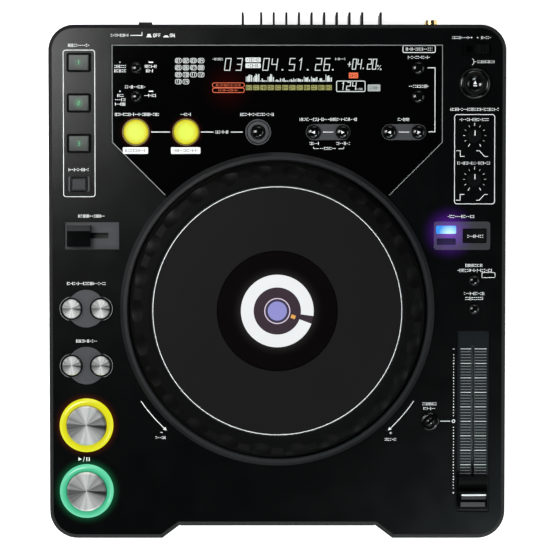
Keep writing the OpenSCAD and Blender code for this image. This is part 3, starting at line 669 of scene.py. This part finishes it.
PLATE_TONE = (0.054, 0.056, 0.060)
DECK = parted_plastic("deck_satin_black", (0.0009, 0.0011, 0.0012), PLATE_TONE, direction_pocket,
                      0.25, 0.22)
GLOSS = plastic("panel_polished_black", (0.0004, 0.0004, 0.0005), 0.07, 300, 0.01, gloss=0.3)
COLLAR = plastic("collar_satin_grey", (0.0125, 0.0130, 0.0142), 0.42, 1300)
PLATES = parted_plastic("plates_grey_and_black", PLATE_TONE, (0.0012, 0.0012, 0.0013), black_collars)
KEY = plastic("key_satin_black", (0.0030, 0.0032, 0.0034), 0.26, 1400)
CAP = plastic("key_polished_black", (0.0008, 0.0009, 0.0010), 0.12, 900, 0.02, gloss=0.5)
JOG_RING = plastic("jog_ring_black", (0.0022, 0.0022, 0.0021), 0.42, 700, 0.03, gloss=0.06)
JOG_TOP = plastic("jog_top_matte", (0.0055, 0.0047, 0.0049), 0.62, 2400, 0.10, gloss=0.10)
WINDOW = plastic("jog_window_black", (0.0022, 0.0016, 0.0017), 0.16, 300, 0.01, gloss=0.25)
# The trim's inner edge is painted white as a highlight; the rest of the ring is dark
TRIM_WITH_PAINTED_HIGHLIGHT = parted_plastic("trim_painted_highlight", (0.90, 0.91, 0.92), (0.012, 0.012, 0.013), trim_beyond_highlight, 0.34)
STEEL = metal("sheet_steel", (0.42, 0.43, 0.44), 0.38, 500)
COATED = plastic("coated_steel", (0.020, 0.020, 0.021), 0.45, 2000, 0.15)
RUBBER = plastic("foot_rubber", (0.012, 0.012, 0.012), 0.75, 1600, 0.25)
FADER_PLATE = plastic("fader_plate_blue_black", (0.0075, 0.0095, 0.0110), 0.34, 1300, gloss=0.15)
GOLD = metal("jack_gold", (0.85, 0.66, 0.30), 0.24, 900)
BOARD = plastic("board_dark_green", (0.002, 0.012, 0.005), 0.35, 700, 0.12)
CAST = metal("cast_aluminium", (0.50, 0.51, 0.52), 0.42, 900)
SLOT = plastic("slot_frame_black", (0.010, 0.010, 0.011), 0.5, 1600, 0.15)
RADIATOR = plastic("heat_sink_black", (0.006, 0.006, 0.0065), 0.42, 1800, 0.10)
CUE_LENS = lens("cue_lens_yellow", TRANSPORT_X, CUE_Y, LENS_R, (0.55, 0.50, 0.01), (0.74, 0.74, 0.008))
PLAY_LENS = lens("play_lens_mint", TRANSPORT_X, PLAY_Y, LENS_R, (0.012, 0.30, 0.14), (0.13, 0.66, 0.38))
FADER_CAP = parted_plastic("fader_cap_black", (0.0006, 0.0006, 0.0007), (0.075, 0.078, 0.078), cap_strips,
                           0.34, 0.08)
AMBER = lamp("rim_amber", (0.14, 0.095, 0.004), base=(0.01, 0.006, 0.001))
OLIVE = lamp("rim_olive", (0.22, 0.19, 0.05), base=(0.01, 0.008, 0.002))
LIT_GREEN = lamp("lit_green", (0.015, 0.34, 0.10))
LIT_RING = lamp("lit_ring_white", (0.84, 0.86, 0.87))
PLUM = lamp("surround_plum", (0.030, 0.016, 0.026), base=(0.008, 0.005, 0.007))
REC_KEY = plastic("rec_key_grey", (0.030, 0.031, 0.033), 0.36, 1300, gloss=0.15)
FRAME = plastic("frame_matte_black", (0.0006, 0.0006, 0.0007), 0.5, 1500, gloss=0.03)
SOFT_KEY = plastic("key_matte_grey", (0.017, 0.017, 0.018), 0.55, 1500, gloss=0.12)
STRIP = plastic("lever_strip_grey", (0.015, 0.017, 0.018), 0.36, 1300, gloss=0.15)
VIOLET_DARK = lamp("bed_dark_violet", (0.020, 0.012, 0.050))
LIT_PINK = lamp("lit_pink_white", (0.72, 0.60, 0.74))
LILAC = lamp("lit_lilac", (0.27, 0.26, 0.62))
LIT_ORANGE = lamp("lit_orange", (0.78, 0.38, 0.07))
MODE_LIT = lens("mode_lamp_blue", MODE_LAMP_X, 28.6, (1, 8), (0.62, 0.97, 1.0), (0.03, 0.25, 1.0), 1.2)
MODE_UNLIT = lens("mode_lamp_violet", MODE_LAMP_X, 21, (0, 8), (0.028, 0.018, 0.075),
                  (0.010, 0.005, 0.035))
MODE_GLOW = (MODE_LAMP_X, 30, 1, 22, (0.16, 0.02, 0.52))
add_glows(DECK, [MODE_GLOW, (TRANSPORT_X, CUE_Y, 18.6, 24.5, (0.045, 0.006, 0.0)),
                 (TRANSPORT_X, PLAY_Y, 18.6, 25, (0.004, 0.075, 0.028))])
add_glows(PLATES, [MODE_GLOW])
add_glows(GLOSS, [(x, ROW_3, 8, 13, (0.060, 0.006, 0.0)) for x in LOOP_X]
          + [(-34.3, 131.5, 5, 24, (0.013, 0.0, 0.0))])
add_glows(WINDOW, [(0, JOG_Y, 25, 36, (0.045, 0.044, 0.042))])

DRESS = {
    DECK: ("top_cover",),
    GLOSS: ("display_panel", "display_module"),
    COLLAR: ("jog_collar",),
    PLATES: ("button_collars",),
    JOG_RING: ("jog_wheel",),
    JOG_TOP: ("jog_plate",),
    TRIM_WITH_PAINTED_HIGHLIGHT: ("jog_trim",),
    WINDOW: ("jog_display",),
    CUE_LENS: ("cue_ring",),
    PLAY_LENS: ("play_ring",),
    FADER_PLATE: ("fader_plate",),
    RADIATOR: ("heat_sink",),
    GOLD: ("rear_jacks",),
    SLOT: ("slot_lips", "mains_inlet"),
    BOARD: ("circuit_boards",),
    COATED: ("bottom_chassis", "rear_panel"),
    STEEL: ("fader_body", "drive_frame", "sled_screw"),
    CAST: ("jog_base", "pickup"),
    RUBBER: ("feet", "encoder_disc", "turntable_hub", "loading_roller"),
    FADER_CAP: ("tempo_slider",),
    CAP: ("direction_lever",),
    REC_KEY: ("rec_mode_button",),
    KEY: ("lock_switch", "brake_knob", "start_knob", "power_button",
          "jog_mode_button", "time_mode_button", "display_mode_button", "memory_button",
          "delete_button", "reloop_button", "wave_back_button", "wave_forward_button", "call_back_button",
          "call_forward_button", "eject_button", "tempo_reset_button"),
    SOFT_KEY: ("tempo_range_button", "master_tempo_button"),
}
for material, names in DRESS.items():
    for name in names:
        dress(name, material)
for i, power in enumerate((0.06, 0.16, 0.04)):
    dress(f"hot_cue_button_{i + 1}", hot_cap(i, power))
for k, side in enumerate(("in", "out")):
    dress(f"loop_{side}_button", lens(f"loop_{side}_lens", LOOP_X[k], ROW_3, (4.5, 8.2),
                                      (0.70, 0.90, 0.085), (0.62, 0.56, 0.004)))
for name, offset, y in (("track_back", -PAIR, TRACK_Y), ("track_forward", PAIR, TRACK_Y),
                        ("search_back", -PAIR, SEARCH_Y), ("search_forward", PAIR, SEARCH_Y),
                        ("cue", 0, CUE_Y), ("play", 0, PLAY_Y)):
    dress(name + "_button", spun_metal_painted_lobes(name + "_spun_painted_lobes", TRANSPORT_X + offset, y))


# ---------------------------------------------------------------- printed marks

STROKES = {
    "0": [[(0, 0), (1, 0), (1, 2), (0, 2), (0, 0)]],
    "1": [[(0.2, 1.6), (0.6, 2), (0.6, 0)]],
    "2": [[(0, 2), (1, 2), (1, 1), (0, 1), (0, 0), (1, 0)]],
    "3": [[(0, 2), (1, 2), (1, 0), (0, 0)], [(0.1, 1), (1, 1)]],
    "4": [[(0, 2), (0, 1), (1, 1)], [(1, 2), (1, 0)]],
    "5": [[(1, 2), (0, 2), (0, 1), (1, 1), (1, 0), (0, 0)]],
    "6": [[(1, 2), (0, 2), (0, 0), (1, 0), (1, 1), (0, 1)]],
    "7": [[(0, 2), (1, 2), (1, 0)]],
    "8": [[(0, 0), (1, 0), (1, 2), (0, 2), (0, 0)], [(0, 1), (1, 1)]],
    "9": [[(1, 1), (0, 1), (0, 2), (1, 2), (1, 0), (0, 0)]],
    "O": [[(0, 0.3), (0.3, 0), (0.7, 0), (1, 0.3), (1, 1.7), (0.7, 2), (0.3, 2), (0, 1.7), (0, 0.3)]],
    "N": [[(0, 0), (0, 2), (1, 0), (1, 2)]],
    "F": [[(0, 0), (0, 2), (1, 2)], [(0, 1.05), (0.8, 1.05)]],
    "+": [[(0, 1), (1, 1)], [(0.5, 0.5), (0.5, 1.5)]],
    "-": [[(0, 1), (1, 1)]],
    ".": [[(0.3, 0), (0.3, 0.3)]],
}


def figures(art, x, y, text, wide, high, stroke, pitch, slant=0.0):
    """Writes figures from x to the right, centred on the height y, with a slant per unit of height."""
    for k, mark in enumerate(text):
        for path in STROKES[mark]:
            art.line([(x + k * pitch + px * wide + (py - 1) * high / 2 * slant, y + (py - 1) * high / 2)
                      for px, py in path], stroke)


def labels(art, rows, high):
    """Rows of small plain marks: (left, right, height) of each in the straight-down view."""
    for i, (left, right, py) in enumerate(rows):
        x0, y = seen(left, py)
        x1, _ = seen(right, py)
        art.dashes((x0 + x1) / 2, y, x1 - x0, high, 31 * i + int(left))


def view_box(art, left, right, top, bottom, width, r):
    """The outline of a rounded box given by its sides in the straight-down view."""
    x0, y0 = seen(left, bottom)
    x1, y1 = seen(right, top)
    art.outline((x0 + x1) / 2, (y0 + y1) / 2, x1 - x0, y1 - y0, width, r)


def view_patch(art, left, right, top, bottom, r):
    """A filled rounded box given by its sides in the straight-down view."""
    x0, y0 = seen(left, bottom)
    x1, y1 = seen(right, top)
    art.soft_box((x0 + x1) / 2, (y0 + y1) / 2, x1 - x0, y1 - y0, r)


WHITE_INK = ink("ink_white", (0.88, 0.89, 0.89))
GREY_INK = ink("ink_grey", (0.21, 0.22, 0.22))
DIM_INK = ink("ink_dim", (0.035, 0.037, 0.039))
DARK_INK = ink("ink_dark", (0.01, 0.01, 0.01))


# Rows for labels(), whose marks follow from a row's number and left end
DECK_LABELS = (
    (69, 90, 45.6), (69, 89, 169.6), (78.5, 104.5, 216), (67, 106, 283.6), (76, 96.5, 341.4),
    (447.5, 474.5, 216.4), (465.4, 482.6, 265.4), (457.4, 492.4, 270.4), (464, 485, 293.6),
    (465.4, 483.6, 298.6), (450, 498.6, 109.4), (459, 489, 119.6), (457, 490.6, 163),
    (422.8, 437.6, 404.6), (424, 436.6, 409.2))
DECK_SMALL_LABELS = (
    (155.4, 165, 438.6), (385, 396.6, 440.4), (111.6, 129.6, 35.6), (451.4, 470, 38), (480.4, 491, 38),
    (476.6, 494.4, 62))
PANEL_LABELS = (
    (115, 126.6, 66.6), (115, 126.6, 71), (145.4, 157, 66.6), (146.6, 154.4, 71), (125.4, 146.4, 87),
    (118, 124.6, 95.6), (115.6, 126.4, 99.8), (115.6, 126.4, 104.2), (144.8, 157.2, 95.6),
    (115.4, 160.2, 114.4), (180.8, 191, 114.4), (240.6, 274.4, 114.4), (215.4, 229.2, 132),
    (299.6, 357.6, 119.4), (397.4, 409.6, 119.4), (309.2, 319, 143.4), (336.4, 349.8, 143.4),
    (320, 336.6, 148.4), (407.4, 429.4, 57.6), (408.4, 428, 86.4))


def deck_marks():
    """White marks on the deck itself."""
    art = Print()
    labels(art, DECK_LABELS, 2.2)
    labels(art, DECK_SMALL_LABELS, 2.0)
    view_box(art, 64, 95.4, 50.4, 196.6, 0.45, 1.8)
    view_box(art, 454.2, 494.2, 114.6, 203.8, 0.5, 1.8)
    view_box(art, 482, 495, 272.6, 277.6, 0.35, 0.4)

    # Power key: a line to its place at the rear, and its two positions
    x, y = seen(131, 35.8)
    end, _ = seen(142.6, 35.8)
    art.line([(x, y), (end, y), (end, y + 2.4)], 0.5)
    for px, raised in ((149.6, 1.0), (166.6, 0.0)):
        x, y = seen(px, 36.2)
        art.bar(x - 2.0, y - 1.0, x + 2.0, y - 0.5)
        art.bar(x - 1.1, y - 0.5, x + 1.1, y + 0.3 + raised)
    for px, word in ((154, "OFF"), (170.6, "ON")):
        x, y = seen(px, 35.8)
        figures(art, x, y, word, 1.15, 2.2, 0.42, 1.85)

    # Play and pause signs
    x, y = seen(83, 460.4)
    art.triangle(x - 2.6, y, 1.5, 0)
    art.line([(x - 0.2, y - 1.7), (x + 0.6, y + 1.7)], 0.4)
    for step in (2.2, 3.9):
        art.box(x + step, y, 0.8, 2.7)

    # Lock: a dot at each end of the switch's travel
    for px in (470.8, 476.8):
        art.disc(*seen(px, 38), 0.5, 12)
    x, y = seen(472, 62)
    art.line([(x - 0.4, y + 2.2), (x + 0.7, y + 1.2), (x + 0.7, y - 1.2), (x - 0.4, y - 2.2)], 0.35)
    art.bar(x + 0.7, y - 0.2, x + 2.4, y + 0.2)

    # Speed knobs: a scale around each, and a fast and a slow ramp under it
    x = KNOB_X
    for y, rise in ((BRAKE_Y, -2.0), (START_Y, 2.0)):
        for k in range(11):
            a = math.radians(-60 + 30 * k)
            reach, width = (8.1, 0.35) if k % 5 else (8.9, 0.5)
            art.line([around(x, y, 6.7, a), around(x, y, reach, a)], width)
        low = y - 12.6
        art.line([(x - 13, low - rise), (x - 10, low - rise),
                  (x - 10, low + rise), (x - 7, low + rise)], 0.45)
        art.line([(x + 1.2, low - rise), (x + 3.4, low - rise),
                  (x + 7, low + rise), (x + 9.4, low + rise)], 0.45)

    # Reverse and forward arcs around the jog, with arrowheads and signs
    arc_r = 115.5
    for start, end, tip, heading, sign, mark in ((214, 226.4, 227, 317, (161, 433.4), "-"),
                                                 (-34, -46.4, -47, -137, (391, 434), "+")):
        art.arc(0, JOG_Y, arc_r, 0.55, start, end)
        art.triangle(*around(0, JOG_Y, arc_r, math.radians(tip)), 1.5, heading)
        x, y = seen(*sign)
        figures(art, x - 0.9, y, mark, 1.8, 3.2, 0.45, 0)

    # Reset: its line to the fader's middle
    x, y = seen(440.4, 422)
    end, _ = seen(450.6, 422)
    art.bar(x, y - 0.22, end, y + 0.22)
    art.make("deck_marks", WHITE_INK, 0)


def fader_marks():
    """Scale of the tempo fader: fine lines on its plate, with dots, signs and a small ring beside it."""
    bright, dim, beside = Print(), Print(), Print()
    first, last, middle, signs_px = 349.4, 494.4, 422, 454
    for k in range(51):
        py = first + 2.92 * k
        _, y = seen(0, py)
        scale, width, dot = (dim, 0.44, 0.38) if k % 5 else (bright, 0.42, 0.5)
        for x0, x1 in ((461.0, 471.6), (474.8, 487.0)):
            scale.bar(seen(x0, 0)[0], y - width / 2, seen(x1, 0)[0], y + width / 2)
        if k not in (0, 1, 24, 25, 26, 49, 50):
            beside.disc(*seen(signs_px, py), dot, 8)
    for py, mark in ((first, "-"), (last, "+")):
        x, y = seen(signs_px, py)
        figures(beside, x - 0.7, y, mark, 1.4, 2.6, 0.4, 0)
    beside.ring(*seen(signs_px, middle), 0.7, 1.25, 16)
    bright.make("fader_scale_bright", WHITE_INK, FADER_PLATE_TOP)
    dim.make("fader_scale_fine", GREY_INK, FADER_PLATE_TOP)
    beside.make("fader_signs", WHITE_INK, 0)
    cap = Print(0.12)
    cap.box(FADER[0] + 0.3, -153.8, 17.0, 1.1)
    cap.make("fader_cap_line", WHITE_INK, FADER_CAP_TOP, "tempo_slider")


def panel_marks():
    """White marks and lines on the polished panel, and the thin border along its edge."""
    art = Print()
    labels(art, PANEL_LABELS, 2.2)
    view_box(art, 402.4, 434.6, 45.8, 52.8, 0.5, 0.9)
    labels(art, [(405.4, 431.6, 49.4)], 2.2)
    for py in (62.4, 91.4):
        art.disc(*seen(120.6, py), 0.45, 12)
        art.box(*seen(151.4, py), 3.2, 0.8)

    # Loop keys: the line that joins them, and the patches under them
    for left, right in ((151.6, 170.4), (201.2, 213.6), (231, 243)):
        (x0, y), (x1, _) = seen(left, 132), seen(right, 132)
        art.bar(x0, y - 0.28, x1, y + 0.28)
    for left, right in ((123.2, 148.4), (171.2, 200.6)):
        view_patch(art, left, right, 147.2, 153.8, 0.7)

    # Bracket from the memory key down to the call keys, and the small one under the wave keys
    art.line([seen(427, 68), seen(434.5, 68), seen(434.5, 131.8), seen(428.2, 131.8)], 0.55)
    art.line([seen(313.6, 146.6), seen(313.6, 148.6), seen(318.6, 148.6)], 0.4)
    art.line([seen(343.6, 146.6), seen(343.6, 148.6), seen(338.4, 148.6)], 0.4)
    art.make("panel_marks", WHITE_INK, PANEL_TOP)

    patch = Print(0.03)
    labels(patch, [(125.6, 146.2, 150.5), (173.8, 198.2, 150.5)], 2.1)
    patch.make("panel_patch_marks", DARK_INK, PANEL_TOP + INK)

    border = Print()
    left, right, rear, side = -PANEL_HALF_W, PANEL_HALF_W, PANEL_REAR - 0.7, PANEL_SIDE + 0.3
    foot = 37.0
    border.line([(left + foot, side - foot), (left, side), (left, rear), (right, rear), (right, side),
                 (right - foot, side - foot)], 0.55)
    border.make("panel_border", GREY_INK, PANEL_TOP)

    # A dash between the keys of each pair
    dashes = Print()
    for x in (WAVE_X, CALL_X):
        dashes.box(x, ROW_3, 7.4, 0.5)
    dashes.make("pair_dashes", WHITE_INK, LOW_COLLAR_TOP)


def key_marks():
    """Small marks on the keys themselves. Each rides on its key."""
    for name, x, turn in PAIR_KEYS:
        art = Print()
        art.triangle(x, ROW_3, 1.35, turn)
        art.make(name + "_arrow", WHITE_INK, RAISED_KEY_TOP + CROWN, name + "_button")
    art = Print()
    x, y = EJECT
    art.triangle(x, y + 0.8, 1.5, 90)
    art.box(x, y - 1.4, 2.7, 0.7)
    art.make("eject_mark", WHITE_INK, RAISED_KEY_TOP + 0.12, "eject_button")
    art = Print()
    labels(art, [(467, 483.4, 236)], 2.3)
    art.make("select_marks", WHITE_INK, MODE_KEY_TOP, "jog_mode_button")
    for name, y in (("brake_knob", BRAKE_Y), ("start_knob", START_Y)):
        art = Print()
        art.box(KNOB_X, y + 2.2, 0.7, 3.6)
        art.make(name + "_pointer", WHITE_INK, KNOB_TOP, name)


# ---------------------------------------------------------------- the lit display

LIT_WHITE = lamp("lit_white", (0.80, 0.86, 0.84))
LIT_DIM = lamp("lit_white_dim", (0.42, 0.46, 0.45))
LIT_BLUE_WHITE = lamp("lit_blue_white", (0.74, 0.82, 0.80), 0.95)
LIT_YELLOW = lamp("lit_yellow_green", (0.36, 0.36, 0.09), 0.8)
LIT_RED = lamp("lit_red", (0.95, 0.16, 0.05), 0.9)
UNLIT = ink("unlit_segments", (0.004, 0.004, 0.004), 0.2)


def display():
    """The lit display: numbered cells, figures, a wave over a row of blocks, and a counter."""
    white, dim, blue, yellow, red = (Print(FILM) for _ in range(5))
    dark = Print(0.02)

    # Track grid: numbered cells
    for row in range(4):
        for column in range(4 if row < 3 else 2):
            left = 175.4 + 7.55 * column
            top = 58.2 + 7.0 * row
            view_box(white, left + 0.35, left + 6.25, top + 0.35, top + 4.9, 0.36, 1.0)
            x, y = seen(left + 1.5, top + 2.7)
            number = f"{4 * row + column + 1:02d}"
            figures(white, x, y, number, 0.85, 1.9, 0.36, 1.55, 0.14)

    # Track, time and tempo
    labels(white, [(212.8, 223.8, 59.4), (335, 345, 59.2)], 1.7)
    for left, text in ((225.4, "0"), (236.6, "3"), (263.4, "04"), (289.4, "51"), (315.8, "26")):
        x, y = seen(left, 64.6)
        figures(white, x, y, text, 3.7, 8.2, 0.52, 5.9, 0.13)
    for px in (282.4, 307.6, 332.6):
        white.box(*seen(px, 70.0), 1.1, 0.9)
    x, y = seen(347.4, 64.4)
    figures(white, x, y, "+04.20", 2.45, 7.0, 0.5, 3.5, 0.13)
    x, y = seen(377.4, 67.8)
    for dx, dy in ((0.0, 1.2), (2.0, -1.2)):
        white.ring(x + dx, y + dy, 0.2, 0.6, 10)
    white.line([(x - 0.2, y - 1.6), (x + 2.2, y + 1.6)], 0.28)
    for top, bottom in ((57.8, 62.4), (63.6, 68.2)):
        view_patch(white, 245.6, 260.8, top, bottom, 0.5)
    labels(dark, [(247, 259.4, 60.1), (248, 258.6, 65.9)], 2.3)

    # Wave: bars that rise and fall, over a row of blocks
    pick = random.Random(5)
    blocks = [246 + 7.22 * block for block in range(12)]
    for left in blocks:
        view_patch(yellow, left, left + 6.2, 85.2, 90.2, 0.25)
        mood = pick.choice((1.4, 3.4, 5.6))
        for bar in range(5):
            high = max(1.2, min(8.2, mood + pick.uniform(-1.6, 2.2)))
            x0, y0 = seen(left + 1.26 * bar, 81.8)
            blue.bar(x0, y0, x0 + (0.86 if bar % 3 else 0.5), y0 + high * PIXEL)
    for left in blocks:
        labels(dark, [(left + 0.8, left + 5.4, 87.7)], 2.4)

    # Two red boxes and a red mark
    for top, bottom in ((83, 87.4), (88.2, 92.6)):
        view_box(red, 212.8, 244.4, top, bottom, 0.42, 1.2)
    labels(red, [(216.4, 240.6, 85.2), (218.4, 238.4, 90.4)], 1.4)
    view_patch(red, 348.6, 357.8, 72.8, 78.4, 0.3)
    labels(dark, [(350, 356.6, 75.6)], 1.9)

    # Beat counter
    view_box(white, 336.4, 364.8, 81.2, 91.6, 0.55, 0.8)
    x, y = seen(341, 86.2)
    figures(white, x, y, "124", 2.4, 5.4, 0.5, 3.9, 0.13)
    labels(white, [(355, 362.6, 89.2)], 1.3)
    view_patch(dim, 367.4, 380, 84.6, 91.4, 0.6)
    labels(dark, [(369.4, 378.2, 88)], 2.0)

    for layer, name, material in (
            (white, "white", LIT_WHITE), (dim, "white_dim", LIT_DIM), (blue, "wave_bars", LIT_BLUE_WHITE),
            (yellow, "wave_blocks", LIT_YELLOW), (red, "red", LIT_RED)):
        layer.make("display_" + name, material, FLUSH)
    dark.make("display_unlit", UNLIT, FLUSH + FILM)


# ---------------------------------------------------------------- relief on and around the keys


def domes():
    """Polished crowns on the round keys, and raised rims around the larger ones."""
    for name, y, r, top in (
            ("time_mode", ROW_1, 3.6, FLAT_KEY_TOP), ("display_mode", ROW_2, 3.6, FLAT_KEY_TOP),
            ("memory", ROW_1, 4.4, FLAT_KEY_TOP), ("delete", ROW_2, 4.4, FLAT_KEY_TOP),
            ("tempo_range", -3.8, 3.6, FLAT_KEY_TOP), ("master_tempo", -23.9, 3.6, FLAT_KEY_TOP),
            ("tempo_reset", RESET[1], 3.2, RAISED_KEY_TOP), ("reloop", ROW_3, 4.2, RAISED_KEY_TOP)):
        low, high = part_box(name + "_button")
        x = (low[0] + high[0]) / 2 / MM
        crown = [(0.88 * r, -0.1), (0.88 * r, 0.1), (0.80 * r, 0.45), (0.6 * r, 0.85), (0.35 * r, 1.1),
                 (0.15 * r, 1.2), (0, CROWN)]
        turned(name + "_crown", crown, x, y, top, CAP, name + "_button")
    crown = [(4.05, -0.1), (4.05, 0.1), (3.7, 0.45), (2.8, 0.85), (1.9, 1.1), (1.2, 1.2), (0, 1.2)]
    for name, x, _ in PAIR_KEYS:
        turned(name + "_crown", crown, x, ROW_3, RAISED_KEY_TOP, CAP, name + "_button")
    for name, x, y, r, top in (("eject", *EJECT, 9.2, COLLAR_TOP),
                               ("tempo_reset", *RESET, 5.2, LOW_COLLAR_TOP)):
        rim = [(r - 1.3, -0.1), (r - 1.1, 0.5), (r - 0.4, 1.0), (r + 0.4, 0.9), (r + 1.0, 0.4), (r + 1.2, -0.1)]
        turned(name + "_rim", rim, x, y, top, CAP)
    turned("eject_face", [(5.4, -0.1), (5.4, 0.1), (5.0, 0.4), (4.4, 0.4), (4.0, 0.1), (0, 0.1)],
           *EJECT, RAISED_KEY_TOP, CAP, "eject_button", steps=8)


def key_rings():
    """Rims, frames and thin rings around the keys, black rings painted as shade in the groove and the gap
    around the reloop key, and the hot keys' lit numbers.
    """
    black, grey, amber = (Print(FILM) for _ in range(3))
    olive, frames = Print(), Print(0.3)
    for y in (TRACK_Y, SEARCH_Y):
        for side, start, end in ((-1, 105, 255), (1, -75, 75)):
            x = TRANSPORT_X + side * PAIR
            black.ring(x, y, 7.0, 7.75)
            grey.arc(x, y, 8.3, 0.3, start, end)
    for x in LOOP_X:
        amber.ring(x, ROW_3, 8.65, 9.25)
        olive.ring(x, ROW_3, 9.25, 9.5)
    olive.make("loop_rim_edges", OLIVE, LOW_COLLAR_TOP)
    for y in HOT_Y:
        frames.outline(HOT_X, y, 15.25, 11.85, 1.65, 0.9)
    frames.make("hot_key_frames", FRAME, BEZEL_TOP)
    for i, y in enumerate(HOT_Y):
        number = Print(0.04)
        figures(number, HOT_X - 0.7, y, str(i + 1), 1.4, 2.6, 0.5, 0)
        number.make(f"hot_number_{i + 1}", LIT_GREEN, HOT_KEY_TOP, f"hot_cue_button_{i + 1}")
    # Painted shade: black rings in the groove and in the gap around the reloop key
    black.ring(RELOOP_X, ROW_3, 7.5, 8.1)
    black.ring(RELOOP_X, ROW_3, 4.7, 5.3)
    black.make("search_rings", CAP, COLLAR_TOP)
    grey.make("search_edges", GREY_INK, COLLAR_TOP)
    amber.make("loop_rims", AMBER, LOW_COLLAR_TOP)
    for name, x, y, r in (("reloop", RELOOP_X, ROW_3, 8.8), ("eject", *EJECT, 10.5)):
        edge = Print(FILM)
        edge.ring(x, y, r - 0.25, r)
        edge.make(name + "_edge", DIM_INK, COLLAR_TOP)


def jog_centre():
    """The lit display in the middle of the jog: a broken white ring around a lens, and a marker."""
    plum, ring, bed, edge, lilac, marker = (Print(FILM) for _ in range(6))
    steps = 96
    start, end = math.radians(-8), math.radians(339.5)
    for i in range(steps):
        ring.sector(0, JOG_Y, 16.5, 25.4, *(start + (end - start) * k / steps for k in (i, i + 1)))
    plum.disc(0, JOG_Y, 16.4, 64)
    plum.sector(0, JOG_Y, 16.4, 25.2, math.radians(-19), math.radians(-9.5))
    bed.disc(0, JOG_Y, 8.5, 48)
    edge.ring(0, JOG_Y, 8.4, 9.1)
    lilac.disc(0, JOG_Y, 6.7, 48)
    turn = math.radians(-20)
    across, along = Vector((math.cos(turn), math.sin(turn))), Vector((-math.sin(turn), math.cos(turn)))
    middle = Vector((0, JOG_Y)) + across * 11.8
    marker.polygon([middle + across * 1.6 * s + along * 1.3 * t
                    for s, t in ((-1, -1), (1, -1), (1, 1), (-1, 1))])
    for layer, name, material, level in (
            (plum, "jog_lens_surround", PLUM, 0), (ring, "jog_light_ring", LIT_RING, 1),
            (bed, "jog_lens_bed", VIOLET_DARK, 1), (edge, "jog_lens_edge", LIT_PINK, 2),
            (lilac, "jog_lens", LILAC, 2), (marker, "jog_marker", LIT_ORANGE, 2)):
        layer.make(name, material, WINDOW_TOP + level * FILM)


def lever_details():
    """A strip along the rear of the lever's cap, marks in its pocket, and a black outline around the square
    key, painted as shade in its gap.
    """
    strip = Print(0.08)
    strip.box(DIRECTION[0] - 9, DIRECTION[1] + 5.4, 15.8, 3.4)
    strip.make("lever_strip", STRIP, LEVER_TOP, "direction_lever")
    faint = Print(0.04)
    labels(faint, [(99, 115, 229.8), (99, 116, 243.6)], 2.6)
    faint.make("pocket_marks", DIM_INK, POCKET_FLOOR)
    # Painted shade: a black outline in the gap around the rec key
    edge = Print()
    edge.outline(HOT_X, REC_Y, 11.4, 9.6, 0.9, 0.6)
    edge.make("rec_key_gap_shade", FRAME, BEZEL_TOP)


def mode_lamps():
    """The two lamps on the jog mode plate: the upper one is lit."""
    for name, material, sides in (("lit", MODE_LIT, (436, 456, 225.6, 233.6)),
                                  ("unlit", MODE_UNLIT, (436.6, 455.6, 238.2, 244.8))):
        art = Print(0.12)
        view_patch(art, *sides, 0.9)
        art.make("mode_lamp_" + name, material, MODE_PLATE_TOP)


def jog_groove():
    """A fine line where the jog's ring meets its collar."""
    groove = Print(0.03)
    groove.ring(0, JOG_Y, 109.4, 110.0, 180)
    groove.make("collar_edge_line", DIM_INK, FLUSH)


deck_marks()
fader_marks()
panel_marks()
key_marks()
display()
domes()
key_rings()
jog_centre()
lever_details()
mode_lamps()
jog_groove()
